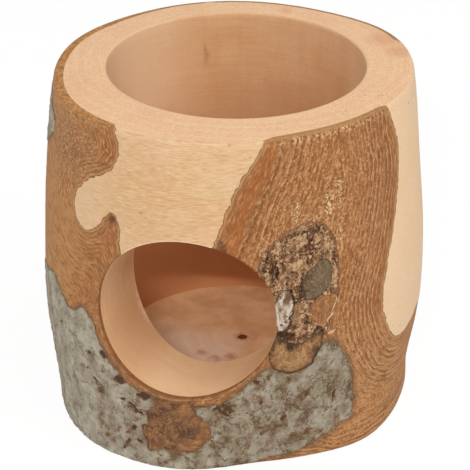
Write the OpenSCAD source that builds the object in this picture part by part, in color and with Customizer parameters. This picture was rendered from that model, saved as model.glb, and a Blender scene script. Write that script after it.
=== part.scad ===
// Hollowed log hideout for a small pet.
// A short log is bored from its top end and through its side. Its face is sanded, so that
// bare wood shows where the log stood out and the bark is left as islands in the hollows.
// Millimetres. The bore runs along +Z, the entrance faces -Y, and the log stands on z = 0.

/* [Log] */
// Height of the log
log_h = 124; // [100:1:150]
// Mean radius at the base
base_r = 66; // [62:0.5:72]
// Mean radius at the belly
belly_r = 68; // [64:0.5:74]
// Height of the belly above the base
belly_z = 48; // [35:1:70]
// Mean radius at the top
top_r = 61; // [58:0.5:68]
// How far the log's centre lies off the bore at the base
base_shift = [-2, -1.5]; // [-4:0.5:4]
// How far the log's centre lies off the bore at the top
top_shift = [0, -3.5]; // [-4:0.5:4]
// Height of the twofold swelling of the log's outline
oval_swell = 1.5; // [0:0.1:2.5]
// Angle of the twofold swelling
oval_at = 55; // [0:1:180]
// Height of the threefold swelling of the log's outline
triple_swell = 1.2; // [0:0.1:2]
// Angle of the threefold swelling
triple_at = 6; // [0:1:120]
// Rounding of the base edge
base_round = 4; // [2:0.5:7]
// Easing of the top edge
top_ease = 0.8; // [0.3:0.1:2]

/* [Chamber] */
// Diameter of the bore
bore_d = 90; // [75:1:94]
// Thickness of the floor under the bore
floor_t = 9; // [6:0.5:16]
// Diameter of the pith
pith_d = 3.5; // [2:0.5:6]
// Place of the pith in the floor
pith_at = [0, 7]; // [-12:0.5:12]

/* [Entrance] */
// Diameter of the entrance
entrance_d = 60; // [45:1:63]
// Height of the entrance's axis
entrance_z = 60; // [50:1:72]
// How far the entrance's axis passes beside the bore's axis
entrance_x = 5.5; // [-8:0.5:7]

/* [Bark] */
// Depth of the inner bark, from the log's face down to the wood
inner_bark_t = 2.5; // [1.5:0.1:4]
// Depth of the outer bark, from the log's face down to the inner bark
outer_bark_t = 1.2; // [0.6:0.1:1.4]
// Height above the base at which the bark starts
bark_foot = 1; // [0.5:0.5:3]

/* [Knot] */
// Angle of the dead branch, to the right of the entrance
knot_at = 44; // [43:0.5:48]
// Height of the dead branch, in hundredths of the log's height
knot_rise = 58; // [54:1:64]
// Diameter of the dead branch
stub_d = 12; // [8:0.5:14]
// Length of branch left in the wood, from the log's face
stub_depth = 6; // [4:0.5:7]
// How far the branch's end stands out of the log's face
stub_proud = 1.4; // [0.9:0.1:2.5]
// Bevel of the branch's end
stub_bevel = 0.8; // [0.3:0.1:1.2]
// Gap round the branch
stub_gap = 0.2; // [0.1:0.05:0.5]
// How far the rough bark round the branch stands out
collar_proud = 0.8; // [0.3:0.1:1.5]
// Thickness of the loose flake on the rough bark
flake_t = 1.2; // [0.6:0.1:2]
// How far the lip under the branch stands out
lip_proud = 1.2; // [0.4:0.1:2]
// How far the smooth scale beside the branch stands out
scale_proud = 0.4; // [0.1:0.1:1]

/* [Hidden] */

// Facets of the log's face, around and along it
turn_steps = 64;
rise_steps = 9;
round_steps = 3;
// Start of the first facet, as a share of a step, so that no outline's corner falls on an edge
first_step = 0.37;
// Facets of the true round bores
$fn = 96;
// How far a cut runs past what it cuts
past = 14;
// How far from the axis the cutter of a bark island starts and ends
cutter_in = bore_d / 6;
cutter_out = belly_r + 2 * past;
// World angle of the entrance
entrance_at = 270;

entrance_r = entrance_d / 2;
bore_r = bore_d / 2;

// Outlines of the bark islands, each point as [degrees right of the entrance,
// hundredths of the log's height]. Points past 0 or 100 run off the ends of the log.
// The two front sheets of inner bark meet in a seam under the entrance.
seam_at = -8;
seam_lap = 4;
function inner_left_outline(seam) = [
    [seam, -8], [seam, 0], [seam, 50], [-10, 62], [-13, 66], [-13, 75], [-16, 78], [-21, 70],
    [-27, 69], [-31, 75], [-27, 83], [-17, 88], [-13, 96], [-16, 108], [-76, 108],
    [-136, 108], [-143, 80], [-137, 56], [-146, 30], [-138, 8], [-140, -8], [-66, -8],
];
inner_right_outline = [
    [seam_at, -8], [62, -8], [117, -8], [118, 14], [110, 27], [96, 31], [86, 28], [78, 27],
    [72, 34], [68, 44], [71, 54], [76, 70], [80, 84], [76, 95], [72, 108], [50, 108],
    [29, 108], [25, 95], [18, 84], [15, 73], [9, 62], [seam_at, 50], [seam_at, 0],
];
inner_back_outline = [
    [134, -8], [170, -8], [206, -8], [204, 20], [196, 40], [203, 62], [207, 85], [204, 108],
    [168, 108], [131, 108], [124, 86], [113, 66], [108, 50], [118, 41], [132, 34], [127, 16],
];
outer_left_outline = [
    [3, -8], [3, 8], [-5, 13], [0, 19], [5, 22], [-1, 22], [-6, 25], [-11, 26], [-16, 31],
    [-20, 36], [-23, 43], [-27, 46], [-30, 41], [-36, 44], [-46, 49], [-58, 50], [-69, 44],
    [-77, 30], [-74, 12], [-79, -8], [-38, -8],
];
outer_front_outline = [
    [6, -8], [14, 1], [28, 2], [39, 2], [47, 5], [53, 9], [59, 10], [59, 21], [55, 32],
    [51, 38], [46, 38], [42, 31], [36, 30], [31, 34], [26, 32], [19, 24], [13, 22], [7, 21],
    [12, 16], [12, 11], [5, 8],
];
outer_back_outline = [
    [150, 4], [176, 2], [196, 10], [199, 30], [188, 46], [170, 58], [150, 55], [138, 40],
    [142, 20],
];
outer_rim_outline = [
    [-66, 79], [-61, 88], [-64, 97], [-74, 99], [-83, 95], [-85, 86], [-76, 77],
];

// Outlines of the knot's pieces, measured in the same way from the middle of the branch
collar_outline = at_knot([
    [-16, -17], [-8, -18], [-2, -17], [3, -16], [7, -8], [8, 2], [6, 13], [0, 18], [-8, 17],
    [-14, 13], [-18, 9], [-18, 2], [-14, -3], [-14, -10],
]);
flake_outline = at_knot([[-11, -14], [-8, -11], [-7, -6], [-9, 0], [-13, -3], [-13, -10]]);
lip_outline = at_knot([
    [-12, -17], [-12, -24], [-7, -27], [-1, -25], [3, -17], [-2, -18], [-7, -19],
]);
scale_outline = at_knot([[2, -13], [5, -10], [4, -6], [0, -7], [-1, -11]]);

function at_knot(outline) = [for (p = outline) p + [knot_at, knot_rise]];

// The parabola through the radii at the base, the belly and the top
function girth(z) =
    base_r * (z - belly_z) * (z - log_h) / (belly_z * log_h)
    + belly_r * z * (z - log_h) / (belly_z * (belly_z - log_h))
    + top_r * z * (z - belly_z) / (log_h * (log_h - belly_z));

// Radius of the log's face at an angle and a height, before its edges are eased
function face_r(a, z) =
    let (up = min(max(z / log_h, 0), 1), centre = base_shift * (1 - up) + top_shift * up)
    girth(up * log_h) + centre * [cos(a), sin(a)]
    + oval_swell * cos(2 * (a - oval_at)) + triple_swell * cos(3 * (a - triple_at));

// How far the eased edges draw in from the face
function edge_in(z) =
    let (low = base_round - min(max(z, 0), base_round), high = log_h - z)
    base_round - sqrt(base_round * base_round - low * low)
    + max(top_ease - max(high, 0), 0);

// A corner of the log's facets, at a step around it and a height
function face_point(i, z, depth) =
    let (a = 360 * (i + first_step) / turn_steps, r = face_r(a, z) - edge_in(z) - depth)
    [r * cos(a), r * sin(a), z];

// Heights of the rings of facets
ring_heights = concat(
    [for (i = [0:round_steps - 1]) base_round * (1 - cos(90 * i / round_steps))],
    [for (i = [0:rise_steps]) base_round + (log_h - top_ease - base_round) * i / rise_steps],
    [log_h]
);
bark_heights = concat([bark_foot], [for (z = ring_heights) if (z > bark_foot) z]);
bark_cut_heights = concat(bark_heights, [log_h + past]);

// The whole face of the log as a closed solid
module log_face() {
    rings = len(ring_heights);
    points = [for (z = ring_heights, i = [0:turn_steps - 1]) face_point(i, z, 0)];
    sides = [
        for (j = [0:rings - 2], i = [0:turn_steps - 1])
            let (k = (i + 1) % turn_steps, low = j * turn_steps, high = low + turn_steps)
            each [[low + i, high + i, high + k], [low + i, high + k, low + k]]
    ];
    base = [for (i = [0:turn_steps - 1]) i];
    top = [for (i = [turn_steps - 1:-1:0]) (rings - 1) * turn_steps + i];
    polyhedron(points, concat([base], sides, [top]));
}

// A stretch of the log's skin from a depth up to a height over its face, as a closed solid.
// Its facets are those of the whole face, so neighbours meet on the same planes.
module skin(depth, proud, heights, span) {
    rings = len(heights);
    wide = span[1] - span[0] + 1;
    row = 2 * wide;
    points = [
        for (z = heights, d = [depth, -proud], i = [span[0]:span[1]]) face_point(i, z, d)
    ];
    faces = [
        for (j = [0:rings - 2], i = [0:wide - 2])
            let (low = j * row + i, high = low + row, out = wide)
            each [
                [low, high + 1, high], [low, low + 1, high + 1],
                [low + out, high + out, high + out + 1], [low + out, high + out + 1, low + out + 1],
            ]
    ];
    ends = [
        for (i = [0:wide - 2])
            let (top = (rings - 1) * row + i, out = wide)
            each [
                [i, i + out, i + out + 1], [i, i + out + 1, i + 1],
                [top, top + out + 1, top + out], [top, top + 1, top + out + 1],
            ]
    ];
    walls = [
        for (j = [0:rings - 2])
            let (low = j * row, high = low + row, out = wide, last = wide - 1)
            each [
                [low, high, high + out], [low, high + out, low + out],
                [low + last, high + last + out, high + last],
                [low + last, low + last + out, high + last + out],
            ]
    ];
    polyhedron(points, concat(faces, ends, walls));
}

// The steps around the log that an outline covers, and some more on both sides
function span(outline, more) =
    let (steps = [for (p = outline) (entrance_at + p[0]) / 360 * turn_steps - first_step])
    [floor(min(steps)) - more, ceil(max(steps)) + more];

// Corners cut at a quarter and three quarters of each side, so that an outline runs round
function rounded(p) = [
    for (i = [0:len(p) - 1])
        let (q = p[(i + 1) % len(p)])
        each [p[i] * 0.75 + q * 0.25, p[i] * 0.25 + q * 0.75]
];

// The direction of an outline's middle
function middle_of(outline) =
    let (turns = [for (p = rounded(rounded(outline))) p[0]])
    (max(turns) + min(turns)) / 2;

// A solid that flares out of the log's axis through an outline on its face
module island(outline, middle) {
    flare = cutter_out / cutter_in;
    rotate([90, 0, entrance_at + middle + 90])
        translate([0, 0, cutter_in])
            linear_extrude(height = cutter_out - cutter_in, scale = [flare, 1], slices = 1, segments = 0)
                polygon([
                    for (p = rounded(rounded(outline)))
                        [cutter_in * tan(p[0] - middle), p[1] / 100 * log_h]
                ]);
}

module whole_island(outline) island(outline, middle_of(outline));

// What an island takes out of the log, from a depth outwards
module island_cut(outline, depth) {
    intersection() {
        skin(depth, past, bark_cut_heights, span(outline, 2));
        whole_island(outline);
    }
}

// The one bed that both front sheets of inner bark lie in
module front_bed() {
    left = inner_left_outline(seam_at);
    lapped_left = inner_left_outline(seam_at + seam_lap);
    intersection() {
        skin(inner_bark_t, past, bark_cut_heights, span(concat(left, inner_right_outline), 2));
        union() {
            island(lapped_left, middle_of(left));
            whole_island(inner_right_outline);
        }
    }
}

// An island of bark between a depth and a height over the log's face
module island_layer(outline, depth, proud) {
    intersection() {
        skin(depth, proud, bark_heights, span(outline, 1));
        whole_island(outline);
    }
}

module bore() {
    translate([0, 0, floor_t]) cylinder(h = log_h, r = bore_r);
}

module entrance() {
    translate([entrance_x, 0, entrance_z]) rotate([90, 0, 0]) cylinder(h = 2 * base_r, r = entrance_r);
}

module pith_rod(extra) {
    translate([pith_at[0], pith_at[1], -extra]) cylinder(h = floor_t + 2 * extra, r = pith_d / 2);
}

// The branch's axis points out of the log, level, from its inner end
module along_branch() {
    z = knot_rise / 100 * log_h;
    a = entrance_at + knot_at;
    start = face_r(a, z) - stub_depth;
    rotate([0, 0, a]) translate([start, 0, z]) rotate([0, 90, 0]) children();
}

module stub_hole() {
    along_branch() cylinder(h = stub_depth + past, r = stub_d / 2 + stub_gap);
}

module log_body() {
    color("burlywood") difference() {
        log_face();
        bore();
        entrance();
        pith_rod(past);
        stub_hole();
        front_bed();
        island_cut(inner_back_outline, inner_bark_t);
    }
}

module pith() {
    color("saddlebrown") pith_rod(0);
}

module inner_bark_left() {
    color("peru") difference() {
        island_layer(inner_left_outline(seam_at), inner_bark_t, 0);
        island_cut(outer_left_outline, outer_bark_t);
        island_cut(outer_rim_outline, outer_bark_t);
        entrance();
    }
}

module inner_bark_right() {
    color("peru") difference() {
        island_layer(inner_right_outline, inner_bark_t, 0);
        island_cut(outer_left_outline, outer_bark_t);
        island_cut(outer_front_outline, outer_bark_t);
        whole_island(collar_outline);
        whole_island(lip_outline);
        entrance();
    }
}

module inner_bark_back() {
    color("peru") difference() {
        island_layer(inner_back_outline, inner_bark_t, 0);
        island_cut(outer_back_outline, outer_bark_t);
    }
}

module outer_bark_left() {
    color("darkgray") difference() {
        island_layer(outer_left_outline, outer_bark_t, 0);
        entrance();
    }
}

module outer_bark_front() {
    color("darkgray") difference() {
        island_layer(outer_front_outline, outer_bark_t, 0);
        whole_island(lip_outline);
        whole_island(collar_outline);
        entrance();
    }
}

module outer_bark_back() {
    color("darkgray") island_layer(outer_back_outline, outer_bark_t, 0);
}

module outer_bark_rim() {
    color("darkgray") island_layer(outer_rim_outline, outer_bark_t, 0);
}

module knot_stub() {
    length = stub_depth + stub_proud;
    color("dimgray") along_branch() {
        cylinder(h = length - stub_bevel, r = stub_d / 2);
        translate([0, 0, length - stub_bevel])
            cylinder(h = stub_bevel, r1 = stub_d / 2, r2 = stub_d / 2 - stub_bevel);
    }
}

module knot_collar() {
    color("sienna") difference() {
        island_layer(collar_outline, inner_bark_t, collar_proud);
        whole_island(lip_outline);
        whole_island(scale_outline);
        stub_hole();
        entrance();
    }
}

module knot_flake() {
    color("lightgray") difference() {
        island_layer(flake_outline, -collar_proud, collar_proud + flake_t);
        stub_hole();
        entrance();
    }
}

module knot_lip() {
    color("chocolate") difference() {
        island_layer(lip_outline, inner_bark_t, lip_proud);
        entrance();
    }
}

module knot_scale() {
    color("chocolate") difference() {
        island_layer(scale_outline, inner_bark_t, scale_proud);
        stub_hole();
    }
}

log_body();
pith();
inner_bark_left();
inner_bark_right();
inner_bark_back();
outer_bark_left();
outer_bark_front();
outer_bark_back();
outer_bark_rim();
knot_stub();
knot_collar();
knot_flake();
knot_lip();
knot_scale();
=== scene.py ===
import math

import bpy
import numpy as np
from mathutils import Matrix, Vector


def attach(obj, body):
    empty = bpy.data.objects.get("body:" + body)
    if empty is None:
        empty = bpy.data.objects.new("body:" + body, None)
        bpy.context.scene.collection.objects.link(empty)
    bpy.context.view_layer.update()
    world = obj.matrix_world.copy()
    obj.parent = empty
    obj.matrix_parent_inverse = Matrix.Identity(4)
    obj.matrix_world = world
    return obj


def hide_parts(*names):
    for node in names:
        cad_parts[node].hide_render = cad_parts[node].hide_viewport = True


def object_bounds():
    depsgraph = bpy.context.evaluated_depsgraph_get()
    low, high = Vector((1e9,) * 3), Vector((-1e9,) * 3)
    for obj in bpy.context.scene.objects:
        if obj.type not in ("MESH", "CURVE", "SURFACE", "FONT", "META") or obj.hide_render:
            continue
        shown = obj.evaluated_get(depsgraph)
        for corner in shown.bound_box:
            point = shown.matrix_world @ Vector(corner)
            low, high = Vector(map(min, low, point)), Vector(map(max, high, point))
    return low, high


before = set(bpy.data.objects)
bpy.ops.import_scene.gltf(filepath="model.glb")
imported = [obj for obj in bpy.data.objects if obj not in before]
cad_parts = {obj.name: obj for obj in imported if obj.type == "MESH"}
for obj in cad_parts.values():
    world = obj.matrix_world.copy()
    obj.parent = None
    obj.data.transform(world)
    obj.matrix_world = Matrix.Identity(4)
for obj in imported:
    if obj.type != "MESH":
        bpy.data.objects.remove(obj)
cadLow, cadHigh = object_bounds()
print("frame loaded:", len(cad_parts), "nodes")

mm = 0.001
boxLow, boxHigh = np.array(cadLow) / mm, np.array(cadHigh) / mm

# Shapes are worked out in millimetres. A place on the log's face is a turn, in degrees to the
# right of the doorway, and a height z.
front = 270.0  # angle of the doorway round the z axis
log = {
    "height": 124.0, "baseR": 66.0, "bellyR": 68.0, "bellyZ": 48.0, "topR": 61.0,
    "baseShift": (-2.0, -1.5), "topShift": (0.0, -3.5),  # centre of the log off the bore
    "oval": (1.5, 55.0), "triple": (1.2, 6.0),           # swellings and their angles
    "baseRound": 1.2, "topRound": 0.9,
    "columns": 432, "rowStep": 1.0, "firstTurn": -150.0,
    # rises and hollows of the face: turn, height, reach around in degrees, reach up, amount
    "bulges": [(-75, 60, 40, 45, -1.5), (-60, 5, 26, 26, -3.4), (-18, 0, 24, 16, 1.6),
               (3, 0, 14, 12, 1.5), (25, 0, 10, 10, -1.0), (62, 0, 17, 12, 3.4),
               (104, 12, 20, 16, -2.6), (105, 92, 40, 22, -0.8),
               (-92, 124, 22, 25, 2.0), (138, 124, 20, 22, 2.4), (22, 124, 9, 12, 1.6)],
}
chamber = {"boreR": 45.0, "floorZ": 9.0, "rimRound": 0.6, "pithR": 1.75, "pithAt": (0.0, 7.0)}
doorway = {"r": 30.0, "z": 59.6, "x": 5.5}
bark = {
    "innerT": 2.5, "outerT": 1.2, "feather": 3.2, "footRow": 2, "seamAt": -8.0,
    "backThin": 0.55, "rimThin": 0.35, "crownThin": 0.6,  # shares of the thickness that are lost
    "rawAt": (2.0, 19.0), "rawReach": (16.0, 12.0),       # the crust's edge is more broken there
    "backIn": 1.2,                                        # the back's crust ends inside its outline
}
knot = {"turn": 44.0, "rise": 58.0, "stubWide": 5.1, "stubTall": 7.5, "stubLean": 24.0}
knotZ = knot["rise"] / 100 * log["height"]
arc = math.pi / 180 * 64  # millimetres to a degree of turn


def smooth(low, high, value):  # 0 to 1 between two values, with soft ends
    t = np.clip((value - low) / (high - low), 0.0, 1.0)
    return t * t * (3 - 2 * t)


def shortWay(angle):  # the same angle between -180 and 180
    return (angle + 180.0) % 360.0 - 180.0


def degreesOf(up, along):  # direction of a point, from 0 to 360
    return np.degrees(np.arctan2(up, along)) % 360


# Radius of the face: a parabola up the log, moved off the axis, with two swellings around it
def faceRadius(theta, z):
    h, b = log["height"], log["bellyZ"]
    z = np.clip(z, 0.0, h)
    girth = (log["baseR"] * (z - b) * (z - h) / (b * h)
             + log["bellyR"] * z * (z - h) / (b * (b - h))
             + log["topR"] * z * (z - b) / (h * (h - b)))
    up = z / h
    cx = log["baseShift"][0] * (1 - up) + log["topShift"][0] * up
    cy = log["baseShift"][1] * (1 - up) + log["topShift"][1] * up
    oval, ovalAt = log["oval"]
    triple, tripleAt = log["triple"]
    r = (girth + cx * np.cos(theta) + cy * np.sin(theta)
         + oval * np.cos(2 * (theta - math.radians(ovalAt)))
         + triple * np.cos(3 * (theta - math.radians(tripleAt))))
    for turn, height, wide, tall, amount in log["bulges"]:
        away = shortWay(np.degrees(theta) - front - turn)
        r = r + amount * np.exp(-(away / wide) ** 2 - ((z - height) / tall) ** 2)
    return r


# How far the rounded base and top edges draw in: quarter circles in the profile
def edgeIn(z):
    rb, rt = log["baseRound"], log["topRound"]
    low = np.clip(rb - z, 0.0, rb)
    high = np.clip(z - (log["height"] - rt), 0.0, rt)
    return rb - np.sqrt(rb * rb - low * low) + rt - np.sqrt(rt * rt - high * high)


def facePoint(turn, z):
    theta = np.radians(front + turn)
    r = faceRadius(theta, z) - edgeIn(z)
    return r * np.cos(theta), r * np.sin(theta)


def facePoints(turn, z):
    return np.stack([*facePoint(turn, z), z], axis=1)


# Distance outside the doorway's cylinder, seen along its axis
def doorwayGap(turn, z):
    x, y = facePoint(turn, z)
    gap = np.hypot(x - doorway["x"], z - doorway["z"]) - doorway["r"]
    return np.where(y < 0, gap, 60.0)


# A point at a depth under the face. Inwards is towards the axis, and along the doorway beside its
# rim, so that the rim stays a true circle.
def skinPoint(turn, z, depth):
    theta = np.radians(front + turn)
    x, y = facePoint(turn, z)
    rim = smooth(9.0, 2.0, doorwayGap(turn, z))
    dx = -np.cos(theta) * (1 - rim)
    dy = -np.sin(theta) * (1 - rim) + rim
    size = np.hypot(dx, dy)
    points = np.stack([x + dx / size * depth, y + dy / size * depth, z], axis=1)
    return np.clip(points, boxLow, boxHigh)


# Random values on a cubic lattice, blended smoothly between its corners, from -1 to 1
def noise(points, size, seed):
    p = np.asarray(points, float) / size + 1000.0
    cell = np.floor(p).astype(np.int64)
    f = p - cell
    f = f * f * (3 - 2 * f)
    total = np.zeros(len(p))
    for corner in range(8):
        step = np.array([corner & 1, corner >> 1 & 1, corner >> 2 & 1])
        weight = np.prod(np.where(step, f, 1 - f), axis=1)
        total += weight * (2 * hashed(cell + step, seed) - 1)
    return total


def hashed(cell, seed):  # a fixed number from 0 to 1 for each lattice cell
    n = cell[:, 0] * 374761393 + cell[:, 1] * 668265263 + cell[:, 2] * 974634541 + seed * 1274126177
    n &= 0xFFFFFFFF
    n = ((n ^ (n >> 13)) * 1103515245) & 0xFFFFFFFF
    n = ((n ^ (n >> 15)) * 668265263) & 0xFFFFFFFF
    return ((n ^ (n >> 16)) & 0xFFFFFF) / 0xFFFFFF


def rough(points, size, seed, octaves=3):  # noise with finer and finer layers
    return sum(noise(points, size / 2 ** k, seed + k) / 2 ** k for k in range(octaves))


# Pebbles, one random point in each cell: distance to the nearest, how much further the second
# nearest is, and the nearest one's tone
def pebbles(points, size, seed):
    p = np.asarray(points, float) / size + 1000.0
    cell = np.floor(p).astype(np.int64)
    near = np.full(len(p), 9.0)
    second = np.full(len(p), 9.0)
    tone = np.zeros(len(p))
    for k in range(27):
        other = cell + np.array([k % 3 - 1, k // 3 % 3 - 1, k // 9 - 1])
        centre = other + np.stack([hashed(other, seed + j) for j in range(3)], axis=1)
        d = np.linalg.norm(p - centre, axis=1)
        closer = d < near
        second = np.where(closer, near, np.minimum(second, d))
        tone = np.where(closer, hashed(other, seed + 7), tone)
        near = np.where(closer, d, near)
    return near, second - near, tone


# Outlines of the bark, as turns and hundredths of the log's height
outlines = {
    "innerLeft": [(2, -8), (2, 0), (2, 44), (-10, 62), (-13, 66), (-13, 75), (-16, 78), (-21, 70),
                  (-27, 69), (-31, 75), (-27, 83), (-17, 88), (-14, 93), (-15, 97), (-16, 99.5),
                  (-17, 102), (-22, 112), (-76, 112), (-150, 112), (-150, 100), (-148, 88),
                  (-137, 56), (-146, 30), (-138, 8), (-140, -8), (-66, -8)],
    "innerRight": [(-14, -8), (62, -8), (117, -8), (118, 14), (110, 27), (96, 31), (86, 28),
                   (78, 27), (72, 34), (68, 44), (71, 54), (76, 70), (80, 84), (77, 94),
                   (75.4, 98), (74.6, 100), (72, 112), (50, 112), (32, 112), (28.6, 100.6),
                   (27.2, 98), (24.5, 94), (18, 84), (15, 73), (9, 62), (-14, 44), (-14, 0)],
    "innerBack": [(134, -8), (170, -8), (206, -8), (204, 20), (196, 40), (203, 62), (208, 88),
                  (210.5, 100), (210.5, 112), (168, 112), (131, 112), (124, 86), (113, 66),
                  (108, 50), (118, 41), (132, 34), (127, 16)],
    "outerLeft": [(9, -8), (9, 4), (3, 6), (-2, 7), (-6, 7), (-4, 5), (-5, 9), (-6, 12),
                  (-4.5, 15), (-7, 18), (-5, 18.5), (-2.5, 20.5), (-2.5, 22), (-4, 23.5),
                  (-7, 25), (-11, 26), (-16, 31), (-20, 36), (-23, 43), (-27, 46), (-30, 41),
                  (-36, 44), (-41, 48.5), (-47, 47), (-58, 44), (-69, 40), (-77, 30), (-74, 12),
                  (-79, -8), (-38, -8)],
    "outerFront": [(3, -8), (14, -3), (24, 0.5), (32, 2.4), (40, 2.6), (47, 5), (53, 9),
                   (59, 10), (59, 21), (55, 32), (51, 38), (46, 38), (42, 31), (36, 30),
                   (31, 34), (26, 32), (19, 24), (13, 22), (7, 21), (13, 16), (12, 11), (9, 7),
                   (3, 7)],
    "outerBack": [(150, 4), (176, 2), (196, 10), (199, 30), (188, 46), (170, 58), (150, 55),
                  (138, 40), (142, 20)],
    "outerRim": [(-60, 80), (-50, 86), (-46, 90), (-47.5, 94), (-57, 96), (-74, 98), (-83, 95),
                 (-85, 86), (-76, 77)],
}
# the right sheet again, run on past the top, for the lines along its sides
rightSheet, pastTop = outlines["innerRight"], [(77, 98), (76, 140), (32, 140), (27, 98)]
outlines["rightSides"] = rightSheet[:13] + pastTop + rightSheet[-5:]
knotOutlines = {  # the same, measured from the middle of the branch
    "collar": [(-16, -21), (-8, -22), (-2, -21), (3, -19), (7, -8), (8, 2), (6, 13), (0, 18),
               (-8, 17), (-14, 13), (-18, 9), (-18, 2), (-14, -3), (-14, -10)],
    "flake": [(-11, -14), (-8, -11), (-7, -6), (-9, 0), (-13, -3), (-13, -10)],
    "lip": [(-15, -17), (-14.5, -25), (-7, -28.5), (0, -26), (3.5, -16), (-2, -17), (-7, -19),
            (-12, -15)],
    "scale": [(2, -15), (6, -12), (7, -6), (3, -5), (-2, -6), (-2, -13)],
}
for outlineName, places in knotOutlines.items():
    outlines[outlineName] = [(t + knot["turn"], s + knot["rise"]) for t, s in places]
# waviness of each kind of edge: its seed, then sizes and depths in millimetres
edgeWaves = {"inner": (11, [(4.0, 0.5), (1.5, 0.45)]), "outer": (23, [(4.0, 0.9), (1.6, 0.55)]),
             "knot": (37, [(3.0, 0.5), (1.3, 0.35)]), "wander": (29, [(13.0, 4.5), (6.0, 2.0)])}


def roundedOutline(name):  # corners cut at the quarters, twice, in millimetres
    p = np.array(outlines[name], float) * [arc, log["height"] / 100]
    for _ in range(2):
        q = np.roll(p, -1, axis=0)
        p = np.stack([p * 0.75 + q * 0.25, p * 0.25 + q * 0.75], axis=1).reshape(-1, 2)
    return p


outlinePaths = {name: roundedOutline(name) for name in outlines}


# Signed distance to an outline, positive inside: the nearest of its sides, with the sign of the
# number of sides crossed
def outlineGap(name, turn, z, reach=14.0):
    path = outlinePaths[name]
    after = np.roll(path, -1, axis=0)
    low, high = path.min(0) - reach, path.max(0) + reach
    gap = np.full(turn.shape, -reach)
    for whole in (-360.0, 0.0, 360.0):
        s = (turn + whole) * arc
        near = (s > low[0]) & (s < high[0]) & (z > low[1]) & (z < high[1])
        if not near.any():
            continue
        ps, pz = s[near], z[near]
        best = np.full(ps.shape, 1e9)
        inside = np.zeros(ps.shape, bool)
        for (s0, z0), (s1, z1) in zip(path, after):
            ds, dz = s1 - s0, z1 - z0
            t = np.clip(((ps - s0) * ds + (pz - z0) * dz) / (ds * ds + dz * dz + 1e-12), 0, 1)
            best = np.minimum(best, (ps - s0 - t * ds) ** 2 + (pz - z0 - t * dz) ** 2)
            if dz:
                inside ^= ((z0 > pz) != (z1 > pz)) & (ps < s0 + ds * (pz - z0) / dz)
        signed = np.where(inside, 1, -1) * np.sqrt(best)
        gap[near] = np.maximum(gap[near], np.clip(signed, -reach, reach))
    return gap


def waviness(kind, turn, z):
    seed, waves = edgeWaves[kind]
    p = facePoints(turn, z)
    return sum(depth * noise(p, size, seed + k) for k, (size, depth) in enumerate(waves))


def frontGap(turn, z):  # both front sheets as one
    gap = np.maximum(outlineGap("innerLeft", turn, z), outlineGap("innerRight", turn, z))
    return gap + waviness("inner", turn, z)


def backGap(turn, z):
    return outlineGap("innerBack", turn, z) + waviness("inner", turn, z)


def sheetGap(turn, z):  # all inner bark
    return np.maximum(frontGap(turn, z), backGap(turn, z))


def crustGap(name, turn, z):  # its edge is more broken round the raw patch, and wanders on the back
    (rawTurn, rawZ), (wide, tall) = bark["rawAt"], bark["rawReach"]
    broken = np.exp(-((turn - rawTurn) / wide) ** 2 - ((z - rawZ) / tall) ** 2)
    gap = outlineGap(name, turn, z) + waviness("outer", turn, z) * (1 + 1.3 * broken)
    if name == "outerBack":
        gap = gap - bark["backIn"] + waviness("wander", turn, z)
    return gap


def knotGap(name, turn, z):
    return outlineGap(name, turn, z) + waviness("knot", turn, z)


def anyCrustGap(turn, z):
    names = ("outerLeft", "outerFront", "outerBack", "outerRim")
    return np.max([crustGap(name, turn, z) for name in names], axis=0)


def bedDepth(turn, z):  # depth of the wood under the bark, feathered to its edge
    thin = bark["backThin"] * smooth(100.0, 140.0, np.abs(shortWay(turn)))
    thin = np.maximum(thin, bark["rimThin"] * smooth(5.0, 1.0, doorwayGap(turn, z)))
    upper = smooth(114.0, 121.0, z) * smooth(16.0, 24.0, turn) * smooth(92.0, 84.0, turn)
    thin = np.maximum(thin, bark["crownThin"] * upper)
    return bark["innerT"] * (1 - thin) * smooth(0.0, bark["feather"], sheetGap(turn, z))


# Meshes over turns and heights

def rowHeights(fine):
    rb, rt, h = log["baseRound"], log["topRound"], log["height"]
    low = rb * (1 - np.cos(np.radians(np.linspace(0, 90, 4 * fine + 1))))
    high = h - rt + rt * np.sin(np.radians(np.linspace(0, 90, 3 * fine + 1)))
    count = int(round((h - rt - rb) / log["rowStep"])) * fine
    return np.concatenate([low[:-1], np.linspace(rb, h - rt, count + 1), high[1:]])


# A grid of triangles around the log, closed where it runs all the way round
def gridPatch(turns, heights, closed):
    cols, rows = len(turns), len(heights)
    turn, z = np.meshgrid(turns, heights)
    wide = cols if closed else cols - 1
    col, row = np.meshgrid(np.arange(wide), np.arange(rows - 1))
    a = (row * cols + col).ravel()
    b = (row * cols + (col + 1) % cols).ravel()
    c, d = b + cols, a + cols
    flip = ((row + col) % 2 == 0).ravel()[:, None]
    first = np.where(flip, np.stack([a, b, c], 1), np.stack([a, b, d], 1))
    last = np.where(flip, np.stack([a, c, d], 1), np.stack([b, c, d], 1))
    return {"turn": turn.ravel(), "z": z.ravel(), "tris": np.concatenate([first, last])}


def facePatch(outlineName=None, fine=1, foot=0):  # the whole face, or the part round an outline
    step = 360.0 / (log["columns"] * fine)
    heights = rowHeights(fine)[foot * fine:]
    if outlineName is None:
        turns = log["firstTurn"] + step * np.arange(log["columns"] * fine)
        return gridPatch(turns, heights, True)
    path = outlinePaths[outlineName]
    low, high = path.min(0) - 3.0, path.max(0) + 3.0
    first = math.floor((low[0] / arc - log["firstTurn"]) / step)
    last = math.ceil((high[0] / arc - log["firstTurn"]) / step)
    turns = log["firstTurn"] + step * np.arange(first, last + 1)
    kept = heights[(heights >= low[1]) & (heights <= high[1])]
    return gridPatch(turns, kept, False)


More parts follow.
